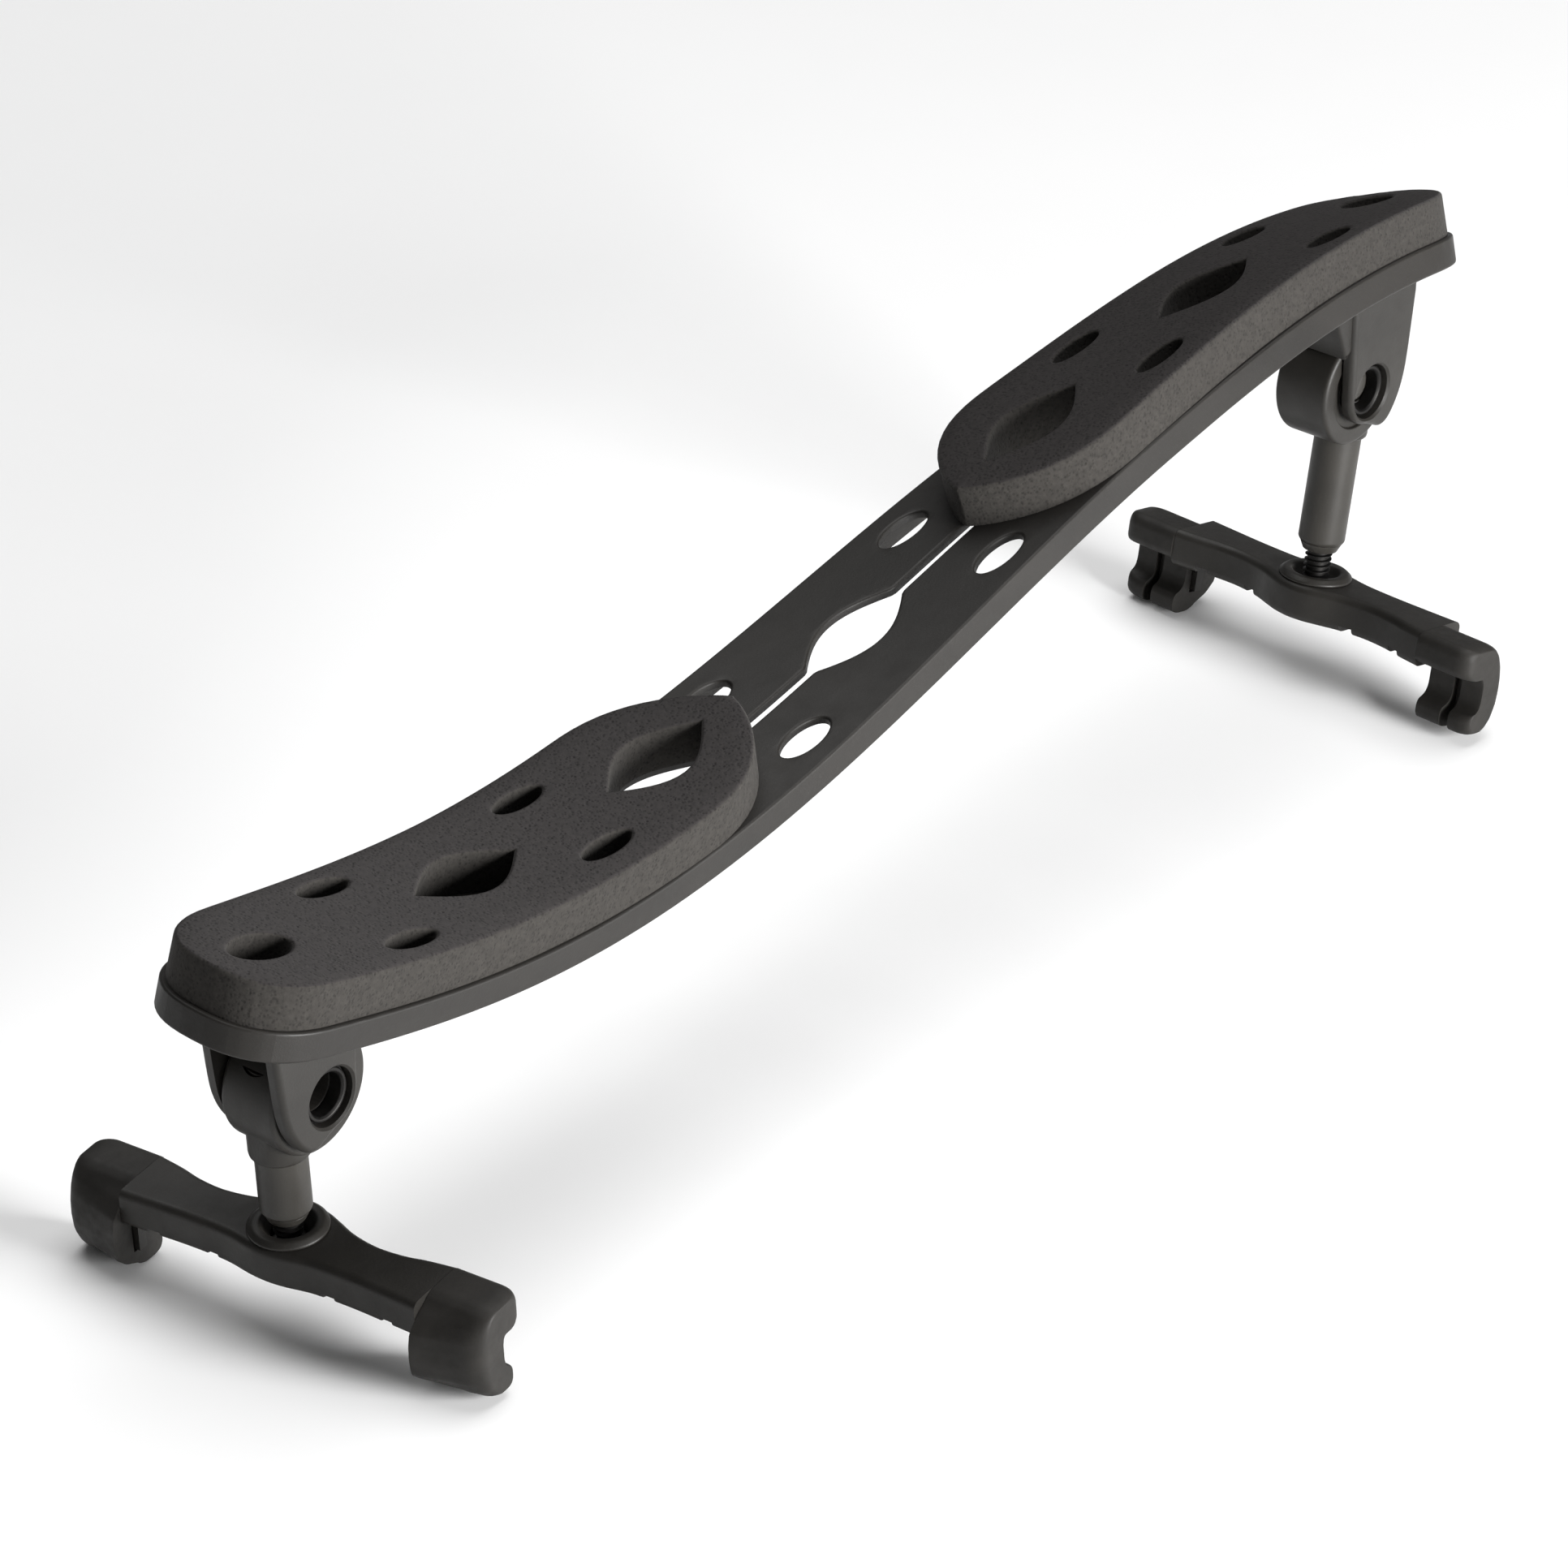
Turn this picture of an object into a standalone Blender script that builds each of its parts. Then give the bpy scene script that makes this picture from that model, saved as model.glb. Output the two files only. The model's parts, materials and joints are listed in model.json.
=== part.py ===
"""Violin shoulder rest: a slender S-curved carrier plate on two folding, screw-adjusted fork feet.

Frame: metres, +Z up. The rest stands on its four claws with the foam on top and its legs unfolded.
X runs along the plate: the short leg is at -X (left), the long leg at +X (right). -Y is the front.
"""
import math

import bmesh
import bpy
from mathutils import Matrix, Vector

MM = 0.001
GAP = 0.3 * MM                    # clearance between pieces that touch

# Stance
PIN_X = {"left": 98.6 * MM, "right": 97.8 * MM}         # fold axes, from the middle of the plate
LEG_OFFSET = 3.0 * MM             # the leg tube stands this far outside its fold axis
TUBE_LENGTH = {"left": 15.6 * MM, "right": 22.3 * MM}   # tube end below the fold axis
FORK_TOP = {"left": 18.2 * MM, "right": 27.1 * MM}      # top of the fork bar below the fold axis
LEAN = {"left": math.radians(5), "right": math.radians(11)}   # both legs stand leaning inwards
TOE_IN = math.radians(5)          # front claws turned towards each other

# Carrier plate, in flat coordinates: x along it, v across it, h above its top face
PLATE_HALF_LENGTH = 113.7 * MM
PLATE_HALF_WIDTH = 12.2 * MM
PLATE_END_NARROWING = 1.5 * MM
PLATE_END_ROUND = 11 * MM
END_BLUNTNESS = 2.5
RIM_HEIGHT = 3.7 * MM
WEB_THICKNESS = 2.2 * MM
RIM_WIDTH = 1.5 * MM
POCKET_START = 50 * MM            # the two end pockets in the underside start here
POCKET_ROUND = 7 * MM
MIDDLE_POCKET = 46.5 * MM         # the deeper pocket between them ends here on both sides
MIDDLE_WEB = 1.0 * MM
POCKET_DEPTH = 2 * MM             # how far a pocket's cutting slab reaches below the rim
MIDDLE_TWIST = math.radians(-4.8)
END_START = 0.45                  # in shares of 100 mm: from here on the long leg's end bends on its own
# Height of the plate over the fold axes, in mm: coefficients of the powers of x / 100 mm
PLATE_WAVE = (9.9, 18.2, 5.2, -24.0, -0.6, 7.0)
EYE_HALF_LENGTH = 9.2 * MM
EYE_HALF_WIDTH = 4.0 * MM
SLIT_WIDTH = 1.4 * MM
OVAL_X = 18.4 * MM
OVAL_V = 7.4 * MM

# Foam pads
PAD_THICKNESS = 5.5 * MM
PAD_INNER = {"left": 21.4 * MM, "right": 21.4 * MM}
PAD_OUTER = 113.1 * MM
PAD_NOSE = 20 * MM
PAD_INSET = 0.6 * MM

# Hinges, in coordinates around the fold axis: u outward, y, z up
HUB_RADIUS = 7.6 * MM
HUB_HALF_WIDTH = 3.9 * MM
HUB_TOP_FLAT = 6.6 * MM
EAR_INNER = 4.2 * MM
EAR_OUTER = 5.8 * MM
EAR_HOLE = 3.6 * MM
BUSH_RADIUS = 3.3 * MM
BUSH_OUTER = 5.0 * MM             # the bush ends below the ear's face
BORE_RADIUS = 2.6 * MM
RECESS_RADIUS = 5.4 * MM          # shallow round recess in each face of the hub
STUD_TOP = 9.2 * MM

# Legs and feet
TUBE_RADIUS = 3.0 * MM
TUBE_TOP = 4.5 * MM
SCREW_RADIUS = 1.75 * MM
SCREW_LENGTH = 15.5 * MM
FORK_THICKNESS = 4.8 * MM
FORK_SHOULDER = 20.3 * MM         # where the bar steps down to the tongue inside the claw grip
FORK_TIP = 27.1 * MM
GRIP_TIP = 28.7 * MM
GRIP_TAPER = 1.8 * MM
SOCKET_RADIUS = 3.4 * MM
SOCKET_DEPTH = 2.8 * MM

SIDES = {"left": -1, "right": 1}


# ---------------------------------------------------------------- scene and materials

def clear_scene():
    for item in list(bpy.data.objects):
        bpy.data.objects.remove(item, do_unlink=True)


def material(name, colour, roughness, metallic=0.0):
    mat = bpy.data.materials.get(name)
    if mat is None:
        mat = bpy.data.materials.new(name)
        mat.use_nodes = True
        shader = mat.node_tree.nodes["Principled BSDF"]
        shader.inputs["Base Color"].default_value = (*colour, 1)
        shader.inputs["Roughness"].default_value = roughness
        shader.inputs["Metallic"].default_value = metallic
    return mat


def plastic():
    return material("glass_filled_plastic", (0.035, 0.032, 0.030), 0.45)


def foam():
    return material("closed_cell_foam", (0.040, 0.038, 0.037), 0.95)


def rubber():
    return material("claw_rubber", (0.030, 0.029, 0.028), 0.65)


def black_steel():
    return material("blackened_steel", (0.045, 0.045, 0.047), 0.35, 1.0)


# ---------------------------------------------------------------- mesh helpers

def scratch(mesh_or_curve):
    """A temporary object holding a shape while it is being cut and joined."""
    item = bpy.data.objects.new("scratch", mesh_or_curve)
    bpy.context.scene.collection.objects.link(item)
    return item


def evaluated_mesh(item):
    """The item's shape as one welded mesh in world space; the item is removed."""
    bpy.context.view_layer.update()
    depsgraph = bpy.context.evaluated_depsgraph_get()
    mesh = bpy.data.meshes.new_from_object(item.evaluated_get(depsgraph))
    mesh.transform(item.matrix_world)
    bpy.data.objects.remove(item)
    work = bmesh.new()
    work.from_mesh(mesh)
    bmesh.ops.remove_doubles(work, verts=work.verts, dist=0.005 * MM)
    bmesh.ops.recalc_face_normals(work, faces=work.faces)
    work.to_mesh(mesh)
    work.free()
    return mesh


def boolean(mesh, other, operation):
    """The mesh after a cut by, or a union with, another mesh."""
    target = scratch(mesh)
    tool = scratch(other)
    step = target.modifiers.new(operation, "BOOLEAN")
    step.operation = operation
    step.object = tool
    result = evaluated_mesh(target)
    bpy.data.objects.remove(tool)
    return result


def cut(mesh, *tools):
    for tool in tools:
        mesh = boolean(mesh, tool, "DIFFERENCE")
    return mesh


def union(mesh, *others):
    for other in others:
        mesh = boolean(mesh, other, "UNION")
    return mesh


def bevelled(mesh, width, segments=2, angle=35):
    item = scratch(mesh)
    step = item.modifiers.new("round", "BEVEL")
    step.width = width
    step.segments = segments
    step.limit_method = "ANGLE"
    step.angle_limit = math.radians(angle)
    return evaluated_mesh(item)


def prism(outline, low, high, axis="Z"):
    """A closed outline extruded between two levels along Z, or along Y for an outline in X and Z."""
    curve = bpy.data.curves.new("outline", "CURVE")
    curve.dimensions = "2D"
    curve.fill_mode = "BOTH"
    curve.extrude = (high - low) / 2
    spline = curve.splines.new("POLY")
    spline.points.add(len(outline) - 1)
    for point, (a, b) in zip(spline.points, outline):
        point.co = (a, b, 0, 1)
    spline.use_cyclic_u = True
    item = scratch(curve)
    middle = (high + low) / 2
    if axis == "Y":
        item.rotation_euler = (math.pi / 2, 0, 0)
        item.location = (0, middle, 0)
    else:
        item.location = (0, 0, middle)
    return evaluated_mesh(item)


def box(x, y, z):
    """A box from three (low, high) pairs."""
    work = bmesh.new()
    bmesh.ops.create_cube(work, size=1)
    size = [high - low for low, high in (x, y, z)]
    centre = [(high + low) / 2 for low, high in (x, y, z)]
    bmesh.ops.scale(work, vec=size, verts=work.verts)
    bmesh.ops.translate(work, vec=centre, verts=work.verts)
    mesh = bpy.data.meshes.new("box")
    work.to_mesh(mesh)
    work.free()
    return mesh


def rod(radius, low, high, axis="Z", at=(0, 0), sides=28):
    """A cylinder along Z or Y; at gives its centre in the two other coordinates, in XYZ order."""
    work = bmesh.new()
    bmesh.ops.create_cone(work, cap_ends=True, segments=sides, radius1=radius, radius2=radius,
                          depth=high - low)
    bmesh.ops.translate(work, vec=(0, 0, (high + low) / 2), verts=work.verts)
    if axis == "Y":
        bmesh.ops.rotate(work, matrix=Matrix.Rotation(-math.pi / 2, 3, "X"), verts=work.verts)
        bmesh.ops.translate(work, vec=(at[0], 0, at[1]), verts=work.verts)
    else:
        bmesh.ops.translate(work, vec=(at[0], at[1], 0), verts=work.verts)
    mesh = bpy.data.meshes.new("rod")
    work.to_mesh(mesh)
    work.free()
    return mesh


def turned(profile, sides=28):
    """A turned piece around Z from a closed profile of (radius, height), outer side listed downwards."""
    mesh = bpy.data.meshes.new("profile")
    count = len(profile)
    edges = [(index, (index + 1) % count) for index in range(count)]
    mesh.from_pydata([(radius, 0, height) for radius, height in profile], edges, [])
    item = scratch(mesh)
    screw = item.modifiers.new("turn", "SCREW")
    screw.steps = sides
    screw.render_steps = sides
    screw.use_merge_vertices = True
    screw.merge_threshold = 0.01 * MM
    return evaluated_mesh(item)


def arc(centre, radius, start, end, count):
    """Points on a circular arc, angles in degrees."""
    angles = [math.radians(start + (end - start) * i / (count - 1)) for i in range(count)]
    return [(centre[0] + radius * math.cos(a), centre[1] + radius * math.sin(a)) for a in angles]


def finish(name, mesh, mat, collection, location=(0, 0, 0), mirrored=False, parent=None):
    """The named part, with its origin at location; a left-hand part mirrors the mesh in X."""
    if mirrored:
        mesh.transform(Matrix.Scale(-1, 4, (1, 0, 0)))
        mesh.flip_normals()
    mesh.name = name
    mesh.materials.clear()
    mesh.materials.append(mat)
    mesh.shade_smooth()
    mesh.set_sharp_from_angle(angle=math.radians(30))
    item = bpy.data.objects.new(name, mesh)
    item.location = location
    item.parent = parent
    collection.objects.link(item)
    return item


# ---------------------------------------------------------------- the plate's surface

def pin_height(side):
    """Height of a fold axis over the floor, with the lowest point of the leaning claws on it."""
    lean = LEAN[side]
    swing = GRIP_TIP * math.sin(TOE_IN)
    depths = [(LEG_OFFSET + u + swing) * math.sin(lean) + (FORK_TOP[side] - z) * math.cos(lean)
              for u, z in grip_profile()]
    return max(depths)


def end_share(x):
    """0 along most of the plate, growing towards the long leg's end."""
    return max(0.0, x / (100 * MM) - END_START)


def plate_height(x):
    """Height of the plate's top face on its centre line."""
    share = x / (100 * MM)
    wave = sum(factor * share ** power for power, factor in enumerate(PLATE_WAVE))
    reach = PIN_X["left"] + PIN_X["right"]
    slope = (pin_height("right") - pin_height("left")) / reach
    lift = 23.3 * end_share(x) ** 2 - 35.6 * end_share(x) ** 3
    return pin_height("left") + slope * (x + PIN_X["left"]) + (wave + lift) * MM


def plate_twist(x):
    share = x / (100 * MM)
    end_twist = 0.24 * end_share(x) ** 2 - 0.74 * end_share(x) ** 3
    return MIDDLE_TWIST - 0.35 * share + 0.17 * share ** 3 + end_twist


def on_plate(x, v, h):
    """The world point at x along the plate, v across it and h above its top face."""
    step = 0.5 * MM
    slope = (plate_height(x + step) - plate_height(x - step)) / (2 * step)
    along = Vector((1, 0, slope)).normalized()
    twist = plate_twist(x)
    across = Vector((0, math.cos(twist), math.sin(twist)))
    across = (across - along * across.dot(along)).normalized()
    up = along.cross(across)
    return Vector((x, 0, plate_height(x))) + across * v + up * h


def bent(mesh):
    """The flat mesh laid along the plate's curved and twisted surface."""
    for vertex in mesh.vertices:
        vertex.co = on_plate(*vertex.co)
    mesh.update()
    return mesh


def end_round(distance, length):
    """1 away from a rounded end, falling along a blunt quarter ellipse to 0 at the end itself."""
    if distance >= length:
        return 1.0
    return max(0.0, 1 - (1 - distance / length) ** END_BLUNTNESS) ** (1 / END_BLUNTNESS)


def plate_half_width(x):
    share = abs(x) / (100 * MM)
    width = PLATE_HALF_WIDTH - PLATE_END_NARROWING * share ** 2.5
    return width * end_round(PLATE_HALF_LENGTH - abs(x), PLATE_END_ROUND)


def pad_half_width(x):
    """Half width of the foam: full beside its nose, and just inside the rim further out."""
    distance = abs(x) - PAD_INNER["left" if x < 0 else "right"]
    inset = PAD_INSET * min(1.0, distance / (45 * MM))
    share = abs(x) / (100 * MM)
    width = PLATE_HALF_WIDTH - PLATE_END_NARROWING * share ** 2.5 - inset
    nose = end_round(distance, PAD_NOSE) ** 2
    return width * nose * end_round(PAD_OUTER - abs(x), PLATE_END_ROUND - PAD_INSET)


def stations(low, high, spacing, low_round, high_round):
    """Positions along the plate, closer together towards a rounded end."""
    rounded = [0.012, 0.05, 0.12, 0.22, 0.36, 0.54, 0.76]
    start = [low + share * low_round for share in rounded]
    end = [high - share * high_round for share in reversed(rounded)]
    middle_low, middle_high = low + low_round, high - high_round
    count = round((middle_high - middle_low) / spacing)
    middle = [middle_low + (middle_high - middle_low) * i / count for i in range(count + 1)]
    return start + middle + end


def slab(places, half_width, low, high, across=7):
    """A flat slab whose half width follows a function of x, from level low to level high."""
    work = bmesh.new()
    columns = len(places)
    bmesh.ops.create_grid(work, x_segments=columns - 1, y_segments=across, size=1)
    for vertex in work.verts:
        column = round((vertex.co.x + 1) / 2 * (columns - 1))
        x = places[column]
        vertex.co = (x, vertex.co.y * half_width(x), low)
    raised = bmesh.ops.extrude_face_region(work, geom=work.faces[:])["geom"]
    lifted = [element for element in raised if isinstance(element, bmesh.types.BMVert)]
    bmesh.ops.translate(work, vec=(0, 0, high - low), verts=lifted)
    bmesh.ops.recalc_face_normals(work, faces=work.faces)
    mesh = bpy.data.meshes.new("slab")
    work.to_mesh(mesh)
    work.free()
    return mesh


# ---------------------------------------------------------------- openings through plate and pads

def ellipse_hole(x, v, half_length, half_width, low, high, count=14):
    turns = [2 * math.pi * i / count for i in range(count)]
    outline = [(x + half_length * math.cos(t), v + half_width * math.sin(t)) for t in turns]
    return prism(outline, low, high)


def pointed_hole(x, v, inner, outer, half_width, low, high):
    """An eye along x: pointed at both ends, widest in the middle."""
    shares = [0, 0.1, 0.28, 0.5, 0.72, 0.9]
    reach = outer - inner
    upper = []
    for share in shares:
        upper.append((x + inner + reach * share, v + half_width * math.sin(math.pi * share)))
    lower = [(a, 2 * v - b) for a, b in reversed(upper[1:])]
    return prism(upper + [(x + outer, v)] + lower, low, high)


def pad_holes(sign):
    """The seven openings in one pad: three on the centre line, four small ones beside it."""
    low, high = -8 * MM, 10 * MM
    far, near = sorted((sign * 44.8 * MM, sign * 27.4 * MM))
    holes = [pointed_hole(0, 0, far, near, 4.3 * MM, low, high)]
    far, near = sorted((sign * 79.4 * MM, sign * 62.0 * MM))
    holes.append(pointed_hole(0, 0, far, near, 3.9 * MM, low, high))
    holes.append(ellipse_hole(sign * 104.9 * MM, 0, 4.3 * MM, 2.7 * MM, low, high))
    for x, half_length in ((53.4 * MM, 4.2 * MM), (87.6 * MM, 4.0 * MM)):
        for v in (-6.6 * MM, 6.6 * MM):
            holes.append(ellipse_hole(sign * x, v, half_length, 1.5 * MM, low, high, count=12))
    return holes


def plate_holes():
    """Central eye, the slit through it, four ovals and the openings under the pads."""
    low, high = -8 * MM, 8 * MM
    holes = [pointed_hole(0, 0, -EYE_HALF_LENGTH, EYE_HALF_LENGTH, EYE_HALF_WIDTH, low, high)]
    slit_end = 30 * MM
    holes.append(box((-slit_end, slit_end), (-SLIT_WIDTH / 2, SLIT_WIDTH / 2), (low, high)))
    for x in (-OVAL_X, OVAL_X):
        for v in (-OVAL_V, OVAL_V):
            holes.append(ellipse_hole(x, v, 4.0 * MM, 2.0 * MM, low, high))
    for side, sign in SIDES.items():
        far, near = sorted((sign * 45.6 * MM, sign * 26.6 * MM))
        holes.append(pointed_hole(0, 0, far, near, 4.7 * MM, low, high))
        holes.append(screw_way(side))
    return holes


# ---------------------------------------------------------------- plate, pads and bracket screws

SCREW_INSIDE = 9.2 * MM           # the bracket screw stands this far inside the fold axis
SCREW_HEAD_RADIUS = 1.9 * MM
SCREW_HEAD_DEPTH = 0.9 * MM
SCREW_SHANK = 1.0 * MM


def screw_place(side):
    return SIDES[side] * (PIN_X[side] - SCREW_INSIDE)


def screw_way(side):
    """Countersunk way for the bracket screw through the plate's web."""
    at = (screw_place(side), 0)
    head = rod(SCREW_HEAD_RADIUS + GAP, -SCREW_HEAD_DEPTH - GAP, 2 * MM, at=at, sides=20)
    shank = rod(SCREW_SHANK + GAP, -8 * MM, 2 * MM, at=at, sides=20)
    return union(head, shank)


def base_plate(collection):
    reach = PLATE_HALF_LENGTH
    places = stations(-reach, reach, 6 * MM, PLATE_END_ROUND, PLATE_END_ROUND)
    mesh = slab(places, plate_half_width, -RIM_HEIGHT, 0)
    inner = reach - RIM_WIDTH

    def pocket_width(x):
        distance = min(inner - abs(x), abs(x) - POCKET_START)
        return max(0.05 * MM, (plate_half_width(x) - RIM_WIDTH) * end_round(distance, POCKET_ROUND))

    pocket_places = stations(POCKET_START, inner, 6 * MM, POCKET_ROUND, POCKET_ROUND)
    for sign in SIDES.values():
        places = sorted(sign * x for x in pocket_places)
        mesh = cut(mesh, slab(places, pocket_width, -RIM_HEIGHT - POCKET_DEPTH, -WEB_THICKNESS))

    def middle_width(x):
        distance = MIDDLE_POCKET - abs(x)
        return max(0.05 * MM, (plate_half_width(x) - RIM_WIDTH) * end_round(distance, POCKET_ROUND))

    places = stations(-MIDDLE_POCKET, MIDDLE_POCKET, 6 * MM, POCKET_ROUND, POCKET_ROUND)
    mesh = cut(mesh, slab(places, middle_width, -RIM_HEIGHT - POCKET_DEPTH, -MIDDLE_WEB))
    mesh = cut(mesh, *plate_holes())
    finish("base_plate", bent(mesh), plastic(), collection)


def foam_pad(side, collection):
    sign = SIDES[side]
    places = stations(PAD_INNER[side], PAD_OUTER, 6 * MM, PAD_NOSE, PLATE_END_ROUND)
    if sign < 0:
        places = [-x for x in reversed(places)]
    mesh = slab(places, pad_half_width, GAP, PAD_THICKNESS)
    mesh = cut(mesh, *pad_holes(sign))
    finish("foam_pad_" + side, bent(mesh), foam(), collection)


def bracket_screw(side, collection):
    """Short flat-headed screw from the plate's top face into the bracket's lug."""
    centre, end = 0.2 * MM, -4.6 * MM
    profile = [(SCREW_HEAD_RADIUS, 0), (SCREW_HEAD_RADIUS, -SCREW_HEAD_DEPTH),
               (SCREW_SHANK, -SCREW_HEAD_DEPTH), (SCREW_SHANK, end), (centre, end), (centre, 0)]
    mesh = turned(profile, sides=20)
    mesh.transform(Matrix.Translation((screw_place(side), 0, 0)))
    finish("bracket_screw_" + side, bent(mesh), black_steel(), collection)


# ---------------------------------------------------------------- hinge bracket

def ear_outline(top):
    """One ear in u and z: round below the hole, with a lobe outside it and a slanted outer edge."""
    round_radius = 4.4 * MM
    lobe = [(0.9, -5.1), (2.5, -5.8), (4.1, -5.3), (5.7, -3.6), (7.0, -1.2), (7.9, 2.2), (9.2, 11.0)]
    points = [(-round_radius, top)]
    points += arc((0, 0), round_radius, 180, 262, 9)
    points += [(u * MM, z * MM) for u, z in lobe]
    points.append((9.4 * MM, top))
    return points


def lug_outline(low, top):
    """The lug between the ears in u and z: it comes down to the hub's rim beside the ears."""
    clear = HUB_RADIUS + 0.5 * MM
    points = [(-11.8 * MM, top), (-11.8 * MM, low), (-7.6 * MM, low)]
    return points + arc((0, 0), clear, 130, 118, 3) + [(-3.8 * MM, top)]


def around_pin(side, mesh):
    """A mesh made in world space, moved into one hinge's own coordinates."""
    sign = SIDES[side]
    mesh.transform(Matrix.Translation((-sign * PIN_X[side], 0, -pin_height(side))))
    if sign < 0:
        mesh.transform(Matrix.Scale(-1, 4, (1, 0, 0)))
        mesh.flip_normals()
    return mesh


def under_plate(side, reach):
    """Everything above the underside of the plate's web near one hinge."""
    count = 12
    places = [SIDES[side] * PIN_X[side] + reach * (2 * i / count - 1) for i in range(count + 1)]
    return around_pin(side, bent(slab(places, lambda x: reach, -WEB_THICKNESS - GAP, 30 * MM)))


def hinge_bracket(side, collection):
    """Two ears joined by a lug that the bracket screw holds against the plate."""
    sign = SIDES[side]
    top = 22 * MM
    outline = ear_outline(top)
    rear = prism(outline, EAR_INNER, EAR_OUTER, "Y")
    front = prism(outline, -EAR_OUTER, -EAR_INNER, "Y")
    lug_thickness = 3.2 * MM
    web_under = plate_height(screw_place(side)) - WEB_THICKNESS - pin_height(side)
    lug_y = 5.2 * MM
    lug = prism(lug_outline(web_under - lug_thickness, top - MM), -lug_y, lug_y, "Y")
    mesh = union(lug, rear, front)
    hole = rod(SCREW_SHANK + GAP, -9 * MM, 0, at=(screw_place(side), 0), sides=20)
    bush_way = rod(EAR_HOLE, -10 * MM, 10 * MM, "Y")
    mesh = cut(mesh, under_plate(side, 16 * MM), around_pin(side, bent(hole)), bush_way)
    finish("hinge_bracket_" + side, mesh, plastic(), collection,
           (sign * PIN_X[side], 0, pin_height(side)), sign < 0)


# ---------------------------------------------------------------- leg

def leg_hub():
    """The drum that the leg turns on, cut for the bushes, the open bore, the tube and the stud."""
    mesh = bevelled(rod(HUB_RADIUS, -HUB_HALF_WIDTH, HUB_HALF_WIDTH, "Y", sides=40), 0.5 * MM)
    collar = rod(3.6 * MM, -7.8 * MM, -2 * MM, at=(LEG_OFFSET, 0))
    mesh = union(mesh, collar)
    bore = rod(BORE_RADIUS, -10 * MM, 10 * MM, "Y")
    seats = []
    for radius, depth in ((BUSH_RADIUS + GAP, 3.0 * MM), (RECESS_RADIUS, 3.4 * MM)):
        seats.append(rod(radius, -10 * MM, -depth, "Y"))
        seats.append(rod(radius, depth, 10 * MM, "Y"))
    tube_way = rod(TUBE_RADIUS + GAP, -20 * MM, TUBE_TOP + GAP, at=(LEG_OFFSET, 0))
    flat = box((-9 * MM, 9 * MM), (-9 * MM, 9 * MM), (HUB_TOP_FLAT, 20 * MM))
    stem_way = rod(1.8 * MM + GAP, 5.3 * MM, 20 * MM, sides=20)
    return cut(mesh, bore, *seats, tube_way, flat, stem_way)


def hinge_bush(front):
    """A short hollow bush: it joins hub and ear, and leaves the bore open."""
    low, high = HUB_HALF_WIDTH - 0.8 * MM, BUSH_OUTER
    profile = [(BUSH_RADIUS, high - 0.3 * MM), (BUSH_RADIUS, low), (BORE_RADIUS, low),
               (BORE_RADIUS, high - 0.3 * MM), (BORE_RADIUS + 0.3 * MM, high),
               (BUSH_RADIUS - 0.3 * MM, high)]
    mesh = turned(profile)
    turn = math.pi / 2 if front else -math.pi / 2
    mesh.transform(Matrix.Rotation(turn, 4, "X"))
    return mesh


def stop_stud():
    """Grooved stud opposite the leg; it faces the plate when the leg is unfolded."""
    low = HUB_TOP_FLAT + GAP
    profile = [(3.1 * MM, STUD_TOP), (3.6 * MM, STUD_TOP - 0.5 * MM), (3.6 * MM, STUD_TOP - 0.9 * MM),
               (3.2 * MM, STUD_TOP - 1.1 * MM), (3.2 * MM, STUD_TOP - 1.4 * MM),
               (3.6 * MM, STUD_TOP - 1.6 * MM), (3.6 * MM, low), (1.8 * MM, low),
               (1.8 * MM, 5.6 * MM), (0.3 * MM, 5.6 * MM), (0.3 * MM, STUD_TOP)]
    return turned(profile)


def leg_tube(length):
    """The leg tube with its screw bore, widened at the end for the threaded insert."""
    inner, wide = 2.05 * MM, 2.5 * MM
    seat = -length + 5 * MM
    profile = [(TUBE_RADIUS, TUBE_TOP), (TUBE_RADIUS, -length + 0.4 * MM),
               (TUBE_RADIUS - 0.25 * MM, -length), (wide, -length), (wide, seat), (inner, seat),
               (inner, TUBE_TOP)]
    mesh = turned(profile)
    mesh.transform(Matrix.Translation((LEG_OFFSET, 0, 0)))
    return mesh


def thread_insert(length):
    """Sleeve in the tube's end that the height screw runs in, with a conical nose below."""
    inner, outer = SCREW_RADIUS + 0.25 * MM, 2.3 * MM
    top, flange, low = -length + 4.7 * MM, -length - GAP, -length - 1.1 * MM
    profile = [(outer, top), (outer, flange), (2.6 * MM, flange), (inner + 0.2 * MM, low),
               (inner, low), (inner, top)]
    mesh = turned(profile)
    mesh.transform(Matrix.Translation((LEG_OFFSET, 0, 0)))
    return mesh


def fold_axis(side, collection):
    """Empty on the fold axis, turned by the leg's lean; the leg and its foot hang on it."""
    sign = SIDES[side]
    axis = bpy.data.objects.new("fold_axis_" + side, None)
    axis.location = (sign * PIN_X[side], 0, pin_height(side))
    axis.rotation_euler = (0, sign * LEAN[side], 0)
    collection.objects.link(axis)
    return axis


def leg(side, axis, collection):
    length = TUBE_LENGTH[side]
    mirrored = SIDES[side] < 0
    pieces = (("leg_hub_", leg_hub(), plastic()),
              ("leg_tube_", leg_tube(length), plastic()),
              ("thread_insert_", thread_insert(length), plastic()),
              ("stop_stud_", stop_stud(), plastic()))
    for prefix, mesh, mat in pieces:
        finish(prefix + side, mesh, mat, collection, mirrored=mirrored, parent=axis)
    for place in ("front", "rear"):
        finish("hinge_bush_" + side + "_" + place, hinge_bush(place == "front"), black_steel(),
               collection, mirrored=mirrored, parent=axis)


# ---------------------------------------------------------------- foot: u outward, y along the bar, z from its top

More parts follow.
